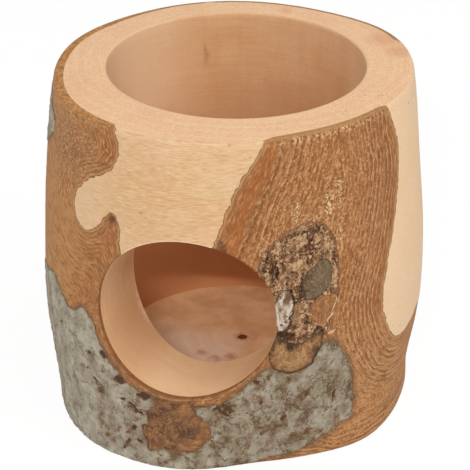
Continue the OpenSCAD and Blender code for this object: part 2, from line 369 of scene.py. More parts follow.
# Cuts a patch where a value changes sign: each crossed triangle becomes three, with new corners
# where the value is nought along its sides. The part above nought is kept, or both.
def cutPatch(patch, value, both=False):
    value = np.where(np.abs(value) < 1e-4, 1e-4, value)
    tris, side = patch["tris"], value > 0
    s = side[tris]
    mixed = s.any(1) & ~s.all(1)
    whole = tris[~mixed]
    crossed, sm = tris[mixed], s[mixed]
    lone = np.where(sm[:, 0] == sm[:, 1], 2, np.where(sm[:, 0] == sm[:, 2], 1, 0))
    turnBy = (lone[:, None] + np.arange(3)) % 3
    p, q, r = np.take_along_axis(crossed, turnBy, axis=1).T
    pairs = np.sort(np.concatenate([np.stack([p, q], 1), np.stack([p, r], 1)]), axis=1)
    edges, back = np.unique(pairs, axis=0, return_inverse=True)
    i, j = edges.T
    t = value[i] / (value[i] - value[j])
    fresh = {"turn": patch["turn"][i] + shortWay(patch["turn"][j] - patch["turn"][i]) * t,
             "z": patch["z"][i] * (1 - t) + patch["z"][j] * t}
    pq, pr = (len(side) + back.ravel()).reshape(2, -1)
    tris = np.concatenate([whole, np.stack([p, pq, pr], 1), np.stack([pq, q, r], 1),
                           np.stack([pq, r, pr], 1)])
    inside = np.concatenate([side[whole[:, 0]], side[p], side[q], side[q]])
    joined = {k: np.concatenate([patch[k], fresh[k]]) for k in ("turn", "z")}
    return tidyPatch({**joined, "tris": tris if both else tris[inside]})


def cutBy(patch, gapOf, *name, sign=1, both=False):  # keeps where a gap has the sign given
    return cutPatch(patch, sign * gapOf(*name, patch["turn"], patch["z"]), both)


def tidyPatch(patch):  # only the corners in use
    used, tris = np.unique(patch["tris"], return_inverse=True)
    return {"turn": patch["turn"][used], "z": patch["z"][used], "tris": tris.reshape(-1, 3)}


def openEdges(tris):  # sides that belong to one triangle only, in that triangle's direction
    edges = np.concatenate([tris[:, [0, 1]], tris[:, [1, 2]], tris[:, [2, 0]]])
    _, back, count = np.unique(np.sort(edges, 1), axis=0, return_inverse=True, return_counts=True)
    return edges[count[back.ravel()] == 1]


# A closed shell: the outer face, the same face set in, and a wall along every open side
def closeShell(outer, inner, tris):
    n = len(outer)
    rim = openEdges(tris)
    i, j = rim[:, 0], rim[:, 1]
    walls = np.concatenate([np.stack([j, i, i + n], 1), np.stack([j, i + n, j + n], 1)])
    return np.concatenate([outer, inner]), np.concatenate([tris, tris[:, ::-1] + n, walls])


# Joins two closed rows of corners, each in order of an angle, with a band of triangles
def zipRows(a, angleA, b, angleB):
    lastB = np.searchsorted(angleB, angleA, side="left") - 1
    lastA = np.searchsorted(angleA, angleB, side="right") - 1
    bandA = np.stack([np.roll(a, 1), a, b[lastB]], 1)
    bandB = np.stack([b, np.roll(b, 1), a[lastA]], 1)
    return np.concatenate([bandA, bandB])


sharpAngle = 42.0  # degrees between faces from which an edge stays sharp


def putMesh(name, points, tris, materials, faceMaterial=None, values=None):
    mesh = bpy.data.meshes.new(name)
    mesh.vertices.add(len(points))
    mesh.vertices.foreach_set("co", (np.asarray(points) * mm).astype(np.float32).ravel())
    mesh.loops.add(tris.size)
    mesh.loops.foreach_set("vertex_index", tris.astype(np.int32).ravel())
    mesh.polygons.add(len(tris))
    mesh.polygons.foreach_set("loop_start", np.arange(0, tris.size, 3, dtype=np.int32))
    mesh.polygons.foreach_set("use_smooth", np.ones(len(tris), bool))
    for material in materials:
        mesh.materials.append(material)
    if faceMaterial is not None:
        mesh.polygons.foreach_set("material_index", np.asarray(faceMaterial, np.int32))
    for key, value in (values or {}).items():
        layer = mesh.attributes.new(key, "FLOAT", "POINT")
        layer.data.foreach_set("value", np.asarray(value, np.float32))
    mesh.update()
    mesh.validate()
    mesh.set_sharp_from_angle(angle=math.radians(sharpAngle))
    piece = bpy.data.objects.new(name, mesh)
    bpy.context.scene.collection.objects.link(piece)
    print(name, len(points), "corners,", len(tris), "triangles")
    return piece


def settle(piece, slot, *nodes):  # stands for its solids and stays on the one body
    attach(piece, "root")
    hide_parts(*nodes)


# Shader helpers

def srgb(r, g, b):
    def linear(c):
        c = c / 255
        return c / 12.92 if c <= 0.04045 else ((c + 0.055) / 1.055) ** 2.4
    return (linear(r), linear(g), linear(b), 1.0)


def addNode(tree, kind, inputs=None, **settings):
    node = tree.nodes.new("ShaderNode" + kind)
    for key, value in settings.items():
        setattr(node, key, value)
    for key, value in (inputs or {}).items():
        feed(tree, node.inputs[key], value)
    return node


def feed(tree, socket, value):  # a link from another socket, or a plain value
    if isinstance(value, bpy.types.NodeSocket):
        tree.links.new(value, socket)
    else:
        socket.default_value = value


def calc(tree, operation, a, b=0.0):
    return addNode(tree, "Math", {0: a, 1: b}, operation=operation).outputs[0]


def ramp(tree, value, low, high, start=0.0, end=1.0):  # soft step from low to high
    node = addNode(tree, "MapRange", {"Value": value, "From Min": low, "From Max": high,
                                      "To Min": start, "To Max": end},
                   interpolation_type="SMOOTHSTEP")
    return node.outputs[0]


def tint(tree, factor, a, b):  # one colour laid over another
    return addNode(tree, "Mix", {0: factor, 6: a, 7: b}, data_type="RGBA").outputs[2]


def stretched(tree, vector, scale):
    return addNode(tree, "VectorMath", {0: vector, 1: scale}, operation="MULTIPLY").outputs[0]


def cloud(tree, vector, scale, detail=2.0, roughness=0.5):
    node = addNode(tree, "TexNoise", {"Vector": vector, "Scale": scale, "Detail": detail,
                                      "Roughness": roughness})
    return node.outputs[0]


def shifted(tree, value, amount):  # a cloud's value as a shift to either side
    return calc(tree, "MULTIPLY", calc(tree, "SUBTRACT", value, 0.5), amount)


def product(tree, *values):
    total = values[0]
    for value in values[1:]:
        total = calc(tree, "MULTIPLY", total, value)
    return total


def summed(tree, *values):
    total = values[0]
    for value in values[1:]:
        total = calc(tree, "ADD", total, value)
    return total


# Colours laid over one another. A row is a value, where its colour starts, where it is full, how
# strong it gets and the colour, or only a strength and the colour.
def layers(tree, colour, *rows):
    for value, *span, over in rows:
        if span:
            low, high, strength = span
            value = ramp(tree, value, low, high, 0.0, strength)
        colour = tint(tree, value, colour, srgb(*over))
    return colour


def attribute(tree, name):
    return addNode(tree, "Attribute", attribute_name=name).outputs["Fac"]


def newGroup(name, inputs, outputs):
    tree = bpy.data.node_groups.new(name, "ShaderNodeTree")
    for label, kind in inputs:
        tree.interface.new_socket(label, in_out="INPUT", socket_type="NodeSocket" + kind)
    for label in outputs:
        tree.interface.new_socket(label, in_out="OUTPUT", socket_type="NodeSocketFloat")
    return tree, tree.nodes.new("NodeGroupInput").outputs, tree.nodes.new("NodeGroupOutput").inputs


def useGroup(tree, group, inputs):
    node = tree.nodes.new("ShaderNodeGroup")
    node.node_tree = group
    for key, value in inputs.items():
        feed(tree, node.inputs[key], value)
    return node.outputs


# Wood fibres: noise drawn out along the grain, broad and fine
def buildFibres():
    tree, given, result = newGroup("fibres", [("Vector", "Vector"), ("Stretch", "Vector")],
                                   ["Broad", "Fine"])
    drawn = stretched(tree, given["Vector"], given["Stretch"])
    feed(tree, result["Broad"], cloud(tree, drawn, 0.3, 3.0, 0.55))
    feed(tree, result["Fine"], cloud(tree, drawn, 1.0, 4.0, 0.6))
    return tree


# Specks: a share of the cells of a lattice of dots
def buildSpecks():
    tree, given, result = newGroup("specks", [("Vector", "Vector"), ("Size", "Float"),
                                              ("Share", "Float")], ["Mask"])
    scale = calc(tree, "DIVIDE", 1.0, given["Size"])
    dots = addNode(tree, "TexVoronoi", {"Vector": given["Vector"], "Scale": scale})
    pick = addNode(tree, "SeparateColor", {0: dots.outputs["Color"]}).outputs[0]
    chosen = calc(tree, "LESS_THAN", pick, given["Share"])
    disc = ramp(tree, dots.outputs["Distance"], 0.4, 0.15)
    feed(tree, result["Mask"], product(tree, chosen, disc))
    return tree


# Year rings: waves on the distance from the pith, bent by noise
def buildRings():
    tree, given, result = newGroup("yearRings", [("Vector", "Vector"), ("Spacing", "Float")],
                                   ["Wave", "Fine"])
    px, py = chamber["pithAt"]
    moved = addNode(tree, "VectorMath", {0: given["Vector"], 1: (-px, -py, 0.0)}, operation="ADD")
    flat = stretched(tree, moved.outputs[0], (1.0, 1.0, 0.0))
    radius = addNode(tree, "VectorMath", {0: flat}, operation="LENGTH").outputs["Value"]
    bent = calc(tree, "ADD", radius, shifted(tree, cloud(tree, given["Vector"], 0.05), 6.0))
    turns = product(tree, calc(tree, "DIVIDE", bent, given["Spacing"]), 2 * math.pi)
    feed(tree, result["Wave"], ramp(tree, calc(tree, "SINE", turns), -1.0, 1.0))
    along = addNode(tree, "CombineXYZ", {0: bent, 1: 0.0, 2: 0.0}).outputs[0]
    feed(tree, result["Fine"], cloud(tree, along, 1.6, 3.0, 0.6))
    return tree


# Bark lines: thin beaded lines on a layer value, pale beside dark, each line of its own strength
def buildBarkLines():
    tree, given, result = newGroup("barkLines", [("Vector", "Vector"), ("Layer", "Float"),
                                                 ("Spacing", "Float")], ["Pale", "Dark"])
    vector = given["Vector"]
    bent = calc(tree, "ADD", shifted(tree, cloud(tree, vector, 0.045), 5.0),
                shifted(tree, cloud(tree, vector, 0.6, 2.0), 0.9))
    place = calc(tree, "DIVIDE", calc(tree, "ADD", given["Layer"], bent), given["Spacing"])
    across = calc(tree, "FRACT", place)
    line = addNode(tree, "TexWhiteNoise", {"W": calc(tree, "FLOOR", place)}, noise_dimensions="1D")
    strength = ramp(tree, line.outputs["Value"], 0.0, 0.7, 0.45, 1.0)
    beads = cloud(tree, vector, 1.5, 2.0, 0.6)
    for name, middle, wide, low in (("Pale", 0.42, 0.2, 0.4), ("Dark", 0.78, 0.24, 0.36)):
        off = calc(tree, "ABSOLUTE", calc(tree, "SUBTRACT", across, middle))
        beaded = ramp(tree, beads, low, low + 0.16, 0.25, 1.0)
        feed(tree, result[name], product(tree, ramp(tree, off, wide, 0.05), strength, beaded))
    return tree


# Crumbs: cells bent by noise, each with a tone of its own, and the gap between them
def buildCrumbs():
    tree, given, result = newGroup("crumbs", [("Vector", "Vector"), ("Size", "Float")],
                                   ["Tone", "Gap"])
    vector = given["Vector"]
    bent = addNode(tree, "TexNoise", {"Vector": vector, "Scale": 0.9, "Detail": 2.0}).outputs[1]
    steps = ("SUBTRACT", 1, (0.5, 0.5, 0.5)), ("SCALE", 3, 2.4), ("ADD", 1, vector)
    for operation, place, amount in steps:
        bent = addNode(tree, "VectorMath", {0: bent, place: amount}, operation=operation).outputs[0]
    lattice = {"Vector": bent, "Scale": calc(tree, "DIVIDE", 1.0, given["Size"])}
    cells = addNode(tree, "TexVoronoi", lattice)
    tones = addNode(tree, "SeparateColor", {0: cells.outputs["Color"]})
    feed(tree, result["Tone"], tones.outputs[0])
    sides = addNode(tree, "TexVoronoi", lattice, feature="DISTANCE_TO_EDGE")
    feed(tree, result["Gap"], ramp(tree, sides.outputs["Distance"], 0.14, 0.0))
    return tree


# The dark line where wood meets bark: two thin broken bands on the distance to the edge
def buildCambium():
    tree, given, result = newGroup("cambium", [("Vector", "Vector"), ("Gap", "Float")],
                                   ["Line", "Second", "Halo"])
    ragged = cloud(tree, given["Vector"], 1.3, 3.0, 0.6)
    gap = summed(tree, given["Gap"], shifted(tree, ragged, 0.5))
    broken = ramp(tree, cloud(tree, given["Vector"], 0.8, 2.0), 0.36, 0.52, 0.25, 1.0)
    for name, place in (("Line", 0.0), ("Second", 1.15)):
        off = calc(tree, "ABSOLUTE", calc(tree, "SUBTRACT", gap, place))
        feed(tree, result[name], product(tree, ramp(tree, off, 0.3, 0.08), broken))
    feed(tree, result["Halo"], ramp(tree, gap, 2.0, 0.6))
    return tree


fibres, specks, yearRings = buildFibres(), buildSpecks(), buildRings()
barkLines, cambium, crumbs = buildBarkLines(), buildCambium(), buildCrumbs()
print("shader groups made")


def startMaterial(name, roughness, specular=0.3):
    material = bpy.data.materials.new(name)
    material.use_nodes = True
    tree = material.node_tree
    shader = tree.nodes["Principled BSDF"]
    shader.inputs["Roughness"].default_value = roughness
    shader.inputs["Specular IOR Level"].default_value = specular
    place = addNode(tree, "TexCoord").outputs["Object"]
    vector = addNode(tree, "VectorMath", {0: place, 3: 1 / mm}, operation="SCALE").outputs[0]
    return material, tree, vector


def finishMaterial(material, colour, height, depth, strength):
    tree = material.node_tree
    inputs = tree.nodes["Principled BSDF"].inputs
    bump = addNode(tree, "Bump", {"Height": height, "Distance": depth * mm, "Strength": strength})
    feed(tree, inputs["Base Color"], colour)
    feed(tree, inputs["Normal"], bump.outputs[0])
    return material


# Bare wood on the face: fine level dashes, paler to both sides, a pale line round the doorway's
# edge as a painted highlight, and a dark one along the bark
def makeFaceWood():
    material, tree, vector = startMaterial("faceWood", 0.62)
    grain = useGroup(tree, fibres, {"Vector": vector, "Stretch": (0.36, 0.36, 3.0)})
    bands = useGroup(tree, fibres, {"Vector": vector, "Stretch": (0.1, 0.1, 0.7)})
    hues = cloud(tree, stretched(tree, vector, (1.0, 1.0, 1.6)), 0.13, 3.0)
    across = addNode(tree, "SeparateXYZ", {0: vector}).outputs[0]
    paler = calc(tree, "MAXIMUM", ramp(tree, across, 34.0, 58.0, 0.0, 0.6),
                 ramp(tree, across, -8.0, -40.0, 0.0, 0.4))
    dots = useGroup(tree, specks, {"Vector": vector, "Size": 2.0, "Share": 0.014})
    spots = ramp(tree, cloud(tree, vector, 0.5, 3.0), 0.3, 0.65)
    edge = useGroup(tree, cambium, {"Vector": vector, "Gap": attribute(tree, "gap")})
    colour = layers(
        tree, srgb(212, 178, 140),
        (cloud(tree, vector, 0.04), 0.38, 0.64, 1.0, (206, 167, 124)),
        (hues, 0.52, 0.64, 0.5, (216, 174, 140)),
        (hues, 0.48, 0.36, 0.5, (210, 180, 132)),
        (bands["Broad"], 0.42, 0.7, 0.3, (208, 164, 117)),
        (grain["Broad"], 0.5, 0.7, 0.35, (198, 152, 103)),
        (grain["Fine"], 0.5, 0.64, 0.5, (186, 140, 90)),
        (grain["Fine"], 0.48, 0.36, 0.4, (230, 202, 166)),
        (paler, (234, 203, 168)),
        (product(tree, dots["Mask"], 0.5), (150, 105, 65)),
        (product(tree, attribute(tree, "stain"), spots), (190, 128, 92)),
        # painted highlight: a pale line along the doorway's edge
        (attribute(tree, "rim"), 0.5, 0.1, 0.6, (244, 216, 184)),
        (product(tree, edge["Line"], 0.9), (122, 80, 42)))
    return finishMaterial(material, colour, summed(tree, grain["Fine"], grain["Broad"]), 0.05, 0.5)


# End grain on the top: faint year rings, fine pores, a few specks and stains
def makeTopWood():
    material, tree, vector = startMaterial("topWood", 0.6)
    rings = useGroup(tree, yearRings, {"Vector": vector, "Spacing": 4.6})
    pores = cloud(tree, vector, 1.1, 3.0, 0.7)
    dots = useGroup(tree, specks, {"Vector": vector, "Size": 1.1, "Share": 0.3})
    stain = product(tree, attribute(tree, "stain"), ramp(tree, rings["Fine"], 0.3, 0.55, 0.4, 1.0))
    colour = layers(
        tree, srgb(234, 195, 154),
        (cloud(tree, vector, 0.06), 0.36, 0.66, 1.0, (230, 187, 146)),
        (product(tree, rings["Wave"], 0.35), (224, 176, 138)),
        (rings["Fine"], 0.46, 0.62, 0.6, (218, 170, 130)),
        (pores, 0.5, 0.64, 0.35, (208, 160, 118)),
        (pores, 0.48, 0.36, 0.4, (243, 209, 168)),
        (product(tree, dots["Mask"], attribute(tree, "speckled")), (128, 88, 54)),
        (stain, (202, 136, 98)))
    return finishMaterial(material, colour, summed(tree, pores, rings["Fine"]), 0.05, 0.5)


# Drilled walls: soft upright grain and a little of the drill's marks. The bore has painted shade
# and light, the doorway's tunnel hasn't: darker and redder lower down, paler on its upper left and
# right walls. The tunnel has its own painted shade in its lower left and painted light on its
# bottom.
def makeBoreWood(name, pale, deep, redness, paintedShading, drilled):
    material, tree, vector = startMaterial(name, 0.6)
    grain = useGroup(tree, fibres, {"Vector": vector, "Stretch": (0.9, 0.9, 0.05)})
    turned = useGroup(tree, fibres, {"Vector": vector, "Stretch": drilled})
    pores = cloud(tree, vector, 1.0, 3.0, 0.7)
    x, _, z = addNode(tree, "SeparateXYZ", {0: vector}).outputs
    plain = 1.0 - paintedShading
    # painted light: the bore's upper left wall made paler
    left = product(tree, ramp(tree, x, -22.0, -46.0, 0.0, 0.65 * paintedShading),
                   ramp(tree, z, 75.0, 95.0))
    # painted shade: the lower left of the doorway's tunnel made darker
    corner = product(tree, ramp(tree, x, -2.0, -16.0, 0.0, 0.6 * plain), ramp(tree, z, 56.0, 44.0))
    torn = product(tree, attribute(tree, "torn"), ramp(tree, pores, 0.4, 0.55, 0.3, 1.0),
                   0.75 * plain)
    colour = layers(
        tree, srgb(*pale),
        (cloud(tree, vector, 0.045, 3.0), 0.35, 0.65, 1.0, deep),
        (grain["Broad"], 0.4, 0.7, 0.14, redness),
        (grain["Fine"], 0.5, 0.72, 0.1, redness),
        (turned["Broad"], 0.5, 0.66, 0.4, pale),
        (turned["Fine"], 0.48, 0.7, 0.25, redness),
        (pores, 0.5, 0.68, 0.3, redness),
        # painted shade: the bore darker and redder lower down; then painted light on its upper left
        # and right walls
        (z, 112.0, 74.0, 0.5 * paintedShading, (178, 122, 80)),
        (z, 72.0, 45.0, 0.45 * paintedShading, (216, 148, 100)),
        (left, (236, 202, 166)),
        (x, 24.0, 46.0, 0.4 * paintedShading, (236, 202, 166)),
        # painted light: the tunnel's bottom paler and less red, against the red light bounced onto
        # it
        (z, 40.0, 31.0, 0.25 * plain, (232, 204, 168)),
        # painted shade of the tunnel's lower left
        (corner, (202, 154, 112)),
        (torn, (250, 214, 186)),
        (attribute(tree, "stain"), (150, 100, 70)))
    return finishMaterial(material, colour, summed(tree, grain["Fine"], turned["Fine"]), 0.03, 0.4)


# The floor: end grain, cut in arcs, with stains beside the pith
def makeFloorWood():
    material, tree, vector = startMaterial("floorWood", 0.65)
    rings = useGroup(tree, yearRings, {"Vector": vector, "Spacing": 5.5})
    x, y, _ = addNode(tree, "SeparateXYZ", {0: vector}).outputs
    spots = ramp(tree, cloud(tree, vector, 0.6, 3.0), 0.25, 0.6)
    paler = product(tree, ramp(tree, y, 14.0, -6.0, 0.0, 0.85), ramp(tree, x, 8.0, -4.0))
    colour = layers(
        tree, srgb(230, 188, 145),
        (cloud(tree, vector, 0.1, 4.0, 0.6), 0.35, 0.65, 1.0, (213, 164, 120)),
        (paler, (236, 213, 190)),
        (product(tree, rings["Wave"], 0.1), (206, 156, 116)),
        (rings["Fine"], 0.48, 0.66, 0.26, (200, 148, 108)),
        (product(tree, attribute(tree, "stain"), spots), (150, 88, 52)))
    return finishMaterial(material, colour, rings["Fine"], 0.06, 0.5)


# Inner bark: brown, with beaded lines, reddish clouds, pale fuzz and a raw patch; dust and painted
# shade darken it beside the crust's edge, and a painted shadow line runs along the raw patch's
# border by the crust
def makeInnerBark():
    material, tree, vector = startMaterial("innerBark", 0.75, 0.2)
    names = ("gap", "lined", "layer", "speckled", "dustAndShadeByCrust", "fuzz")
    gap, lined, layer, speckled, dustAndShadeByCrust, fuzz = [attribute(tree, name) for name in names]
    lines = useGroup(tree, barkLines, {"Vector": vector, "Layer": layer,
                                       "Spacing": attribute(tree, "spacing")})
    edge = useGroup(tree, cambium, {"Vector": vector, "Gap": gap})
    x, y, z = addNode(tree, "SeparateXYZ", {0: vector}).outputs
    drawn = addNode(tree, "CombineXYZ", {0: layer, 1: x, 2: z}).outputs[0]
    fine = cloud(tree, stretched(tree, drawn, (1.0, 0.24, 0.3)), 1.25, 3.0, 0.7)
    dust = cloud(tree, vector, 1.1, 3.0, 0.7)
    mottle = cloud(tree, vector, 0.4, 4.0, 0.65)
    calm = calc(tree, "SUBTRACT", 1.0, product(tree, attribute(tree, "calm"), 0.45))
    red = calc(tree, "MAXIMUM", ramp(tree, cloud(tree, vector, 0.13, 3.0), 0.55, 0.7, 0.0, 0.45),
               attribute(tree, "ruddy"))
    low = product(tree, ramp(tree, z, 60.0, 35.0, 0.0, 0.4), ramp(tree, x, 36.0, 48.0))
    grey = product(tree, attribute(tree, "grey"), ramp(tree, dust, 0.58, 0.48, 0.2, 1.0))
    dash = product(tree, attribute(tree, "dash"), ramp(tree, dust, 0.56, 0.48), 0.8)
    colour = layers(
        tree, srgb(156, 105, 63),
        (cloud(tree, vector, 0.08), 0.38, 0.62, 1.0, (146, 94, 53)),
        (x, -15.0, -45.0, 0.8, (186, 136, 85)),
        (red, (160, 96, 56)),
        (low, (190, 142, 94)),
        (product(tree, attribute(tree, "ledge"), 0.85), (151, 91, 47)),
        (product(tree, lines["Dark"], lined, 0.8), (118, 74, 40)),
        (product(tree, lines["Pale"], lined, 0.8), (206, 158, 112)),
        (product(tree, ramp(tree, fine, 0.5, 0.66, 0.0, 0.75), calm), (120, 75, 40)),
        (product(tree, ramp(tree, fine, 0.49, 0.35, 0.0, 0.6), calm), (200, 150, 102)),
        (grey, (138, 102, 78)),
        (product(tree, ramp(tree, dust, 0.44, 0.34, 0.0, 0.6), speckled), (108, 68, 38)),
        (product(tree, ramp(tree, dust, 0.55, 0.66, 0.0, 0.75), speckled), (208, 160, 114)),
        (dash, (98, 62, 36)),
        (product(tree, edge["Halo"], 0.5), (190, 144, 98)),
        (product(tree, edge["Second"], 0.75), (124, 82, 46)),
        (product(tree, edge["Line"], 0.9), (108, 72, 40)),
        # dust and painted shade beside the crust's edge
        (product(tree, dustAndShadeByCrust, ramp(tree, dust, 0.44, 0.54)), (112, 84, 60)))
    # painted shadow line along the raw patch's border by the crust
    border = product(tree, ramp(tree, dustAndShadeByCrust, 0.55, 0.95), ramp(tree, mottle, 0.42, 0.54), 0.85)
    bare = layers(
        tree, srgb(142, 100, 63),
        (mottle, 0.4, 0.58, 1.0, (110, 76, 53)),
        (dust, 0.52, 0.64, 0.85, (82, 56, 40)),
        (dust, 0.42, 0.34, 0.7, (172, 140, 108)),
        (border, (78, 54, 40)))
    colour = tint(tree, attribute(tree, "raw"), colour, bare)
    scar = product(tree, attribute(tree, "scar"), ramp(tree, dust, 0.4, 0.56, 0.4, 0.95))
    colour = layers(
        tree, colour,
        (product(tree, fuzz, ramp(tree, dust, 0.47, 0.38)), (104, 74, 52)),
        (product(tree, fuzz, ramp(tree, dust, 0.48, 0.57)), (226, 192, 146)),
        (attribute(tree, "rim"), 0.7, 0.2, 0.6, (122, 78, 46)),
        (scar, (78, 52, 42)))
    crown = layers(  # the sawn edge at the top
        tree, srgb(200, 146, 88),
        (dust, 0.44, 0.56, 1.0, (146, 98, 54)),
        (y, 5.0, 40.0, 0.6, (150, 118, 84)),
        (x, -5.0, 15.0, 0.6, (168, 134, 94)))
    colour = tint(tree, ramp(tree, z, 123.0, 123.8, 0.0, 0.75), colour, crown)
    ridges = product(tree, calc(tree, "SUBTRACT", lines["Pale"], lines["Dark"]), lined)
    height = summed(tree, ridges, fine, product(tree, fuzz, dust))
    return finishMaterial(material, colour, height, 0.14, 0.7)


# Outer bark: grey, stained with brown in blotches, with dark brown holes and strokes
def makeCrust():
    material, tree, vector = startMaterial("outerBark", 0.85, 0.2)
    blotch = cloud(tree, stretched(tree, vector, (1.0, 1.0, 0.8)), 0.17, 4.0, 0.6)
    small = cloud(tree, vector, 0.55, 4.0, 0.6)
    tiny = cloud(tree, vector, 1.4, 3.0, 0.7)
    across = addNode(tree, "SeparateXYZ", {0: vector}).outputs[0]
    shade = summed(tree, blotch, shifted(tree, small, 0.36), shifted(tree, tiny, 0.19),
                   ramp(tree, across, -30.0, 10.0, -0.04, 0.11))
    plate = useGroup(tree, crumbs, {"Vector": vector, "Size": 5.5})
    crack = product(tree, plate["Gap"], ramp(tree, cloud(tree, vector, 0.3, 3.0), 0.47, 0.56),
                    ramp(tree, tiny, 0.4, 0.5), ramp(tree, across, -40.0, 0.0, 0.45, 0.85))
    scar = summed(tree, attribute(tree, "scar"), shifted(tree, tiny, 0.9))
    edge = summed(tree, attribute(tree, "edge"), shifted(tree, small, 3.0))
    colour = layers(
        tree, srgb(178, 171, 154),
        (shade, 0.34, 0.5, 1.0, (158, 149, 131)),
        (shade, 0.48, 0.62, 1.0, (139, 126, 106)),
        (shade, 0.58, 0.74, 1.0, (106, 85, 60)),
        (shade, 0.72, 0.84, 1.0, (84, 64, 44)),
        (cloud(tree, vector, 0.26, 4.0, 0.65), 0.56, 0.68, 0.45, (132, 102, 68)),
        (cloud(tree, vector, 0.12), 0.46, 0.62, 0.45, (146, 132, 117)),
        (crack, (92, 68, 48)),
        (tiny, 0.44, 0.34, 0.35, (190, 182, 166)),
        (scar, 0.2, 0.6, 0.8, (124, 92, 62)),
        (scar, 0.44, 0.8, 0.9, (72, 50, 37)),
        (edge, 0.8, 0.3, 0.75, (112, 84, 58)))
    return finishMaterial(material, colour, calc(tree, "SUBTRACT", tiny, small), 0.3, 0.7)


# Knot bark: crumbs of several tones, fading at the edge to a border colour: the plain bark, or on
# the lip a painted shade
def makeKnotBark(name, low, middle, high, deep, border, fade, crumbly):
    material, tree, vector = startMaterial(name, 0.85, 0.2)
    small = cloud(tree, vector, 0.7, 4.0, 0.65)
    tiny = cloud(tree, vector, 1.5, 3.0, 0.7)
    crumb = useGroup(tree, crumbs, {"Vector": vector, "Size": 1.3})
    tone = summed(tree, attribute(tree, "tone"), shifted(tree, tiny, 1.3),
                  shifted(tree, crumb["Tone"], crumbly))
    crag = summed(tree, attribute(tree, "crag"), shifted(tree, tiny, 0.5),
                  product(tree, crumb["Gap"], -0.7 * crumbly))
    edge = summed(tree, attribute(tree, "edge"), shifted(tree, small, 4.0))
    colour = layers(
        tree, srgb(*low),
        (tone, 0.1, 0.45, 1.0, middle),
        (tone, 0.5, 0.9, 1.0, high),
        (crag, 0.25, 0.0, 1.0, deep),
        (edge, fade, 0.1, 0.9, border))
    height = summed(tree, small, tiny, product(tree, crumb["Gap"], -crumbly))
    return finishMaterial(material, colour, height, 0.35, 0.9)


# Smooth bark scale with a broken pale rim on its free sides
def makeScaleBark():
    material, tree, vector = startMaterial("scaleBark", 0.7, 0.25)
    small = cloud(tree, vector, 0.45, 4.0, 0.6)
    tiny = cloud(tree, vector, 1.4, 3.0, 0.7)
    rim = product(tree, ramp(tree, attribute(tree, "edge"), 0.75, 0.3),
                  ramp(tree, small, 0.4, 0.52), attribute(tree, "tone"), 0.9)
    colour = layers(
        tree, srgb(162, 111, 68),
        (small, 0.4, 0.6, 1.0, (138, 90, 54)),
        (tiny, 0.5, 0.64, 0.6, (98, 66, 42)),
        (tiny, 0.46, 0.36, 0.5, (192, 146, 100)),
        (rim, (214, 180, 138)))
    return finishMaterial(material, colour, summed(tree, small, tiny), 0.3, 0.7)


# Dead branch end: weathered olive grey, darker to its edge and on its left
def makeDeadWood():
    material, tree, vector = startMaterial("deadWood", 0.8, 0.25)
    small = cloud(tree, vector, 0.4, 4.0, 0.6)
    tiny = cloud(tree, vector, 1.3, 4.0, 0.7)
    ring = summed(tree, attribute(tree, "ring"), shifted(tree, small, 1.2))
    colour = layers(
        tree, srgb(119, 98, 76),
        (small, 0.38, 0.62, 1.0, (101, 83, 61)),
        (ring, 0.7, 1.2, 0.85, (80, 62, 42)),
        (tiny, 0.5, 0.66, 0.7, (84, 66, 48)),
        (tiny, 0.48, 0.34, 0.6, (164, 140, 112)))
    return finishMaterial(material, colour, summed(tree, small, tiny), 0.25, 0.7)


def makePith():
    material, tree, vector = startMaterial("pith", 0.85, 0.2)
    tiny = cloud(tree, vector, 1.8, 3.0, 0.6)
    colour = layers(tree, srgb(88, 46, 28), (tiny, 0.35, 0.65, 1.0, (122, 70, 42)))
    return finishMaterial(material, colour, tiny, 0.3, 0.8)


faceWood, topWood, floorWood = makeFaceWood(), makeTopWood(), makeFloorWood()
boreWood = makeBoreWood("boreWood", (218, 176, 134), (210, 162, 118), (190, 136, 94), 1.0,
                        (0.06, 0.06, 1.4))
tunnelWood = makeBoreWood("tunnelWood", (229, 191, 151), (222, 179, 137), (200, 149, 104), 0.0,
                          (0.05, 0.7, 0.05))
innerBark, outerBark = makeInnerBark(), makeCrust()
collarBark = makeKnotBark("collarBark", (116, 80, 56), (154, 114, 82), (204, 166, 126),
                          (68, 45, 31), (144, 100, 70), 1.5, 0.65)
# the lip's dark low tone and dark border at its edge are painted shade round the fold
lipBark = makeKnotBark("lipBark", (92, 68, 50), (146, 106, 68), (178, 140, 98),
                       (58, 44, 34), (82, 64, 48), 1.6, 0.3)
flakeBark = makeKnotBark("flakeBark", (112, 84, 64), (166, 142, 121), (212, 198, 182),
                         (66, 46, 34), (110, 82, 62), 0.5, 0.4)
scaleBark, deadWood, pithWood = makeScaleBark(), makeDeadWood(), makePith()
print("materials made")


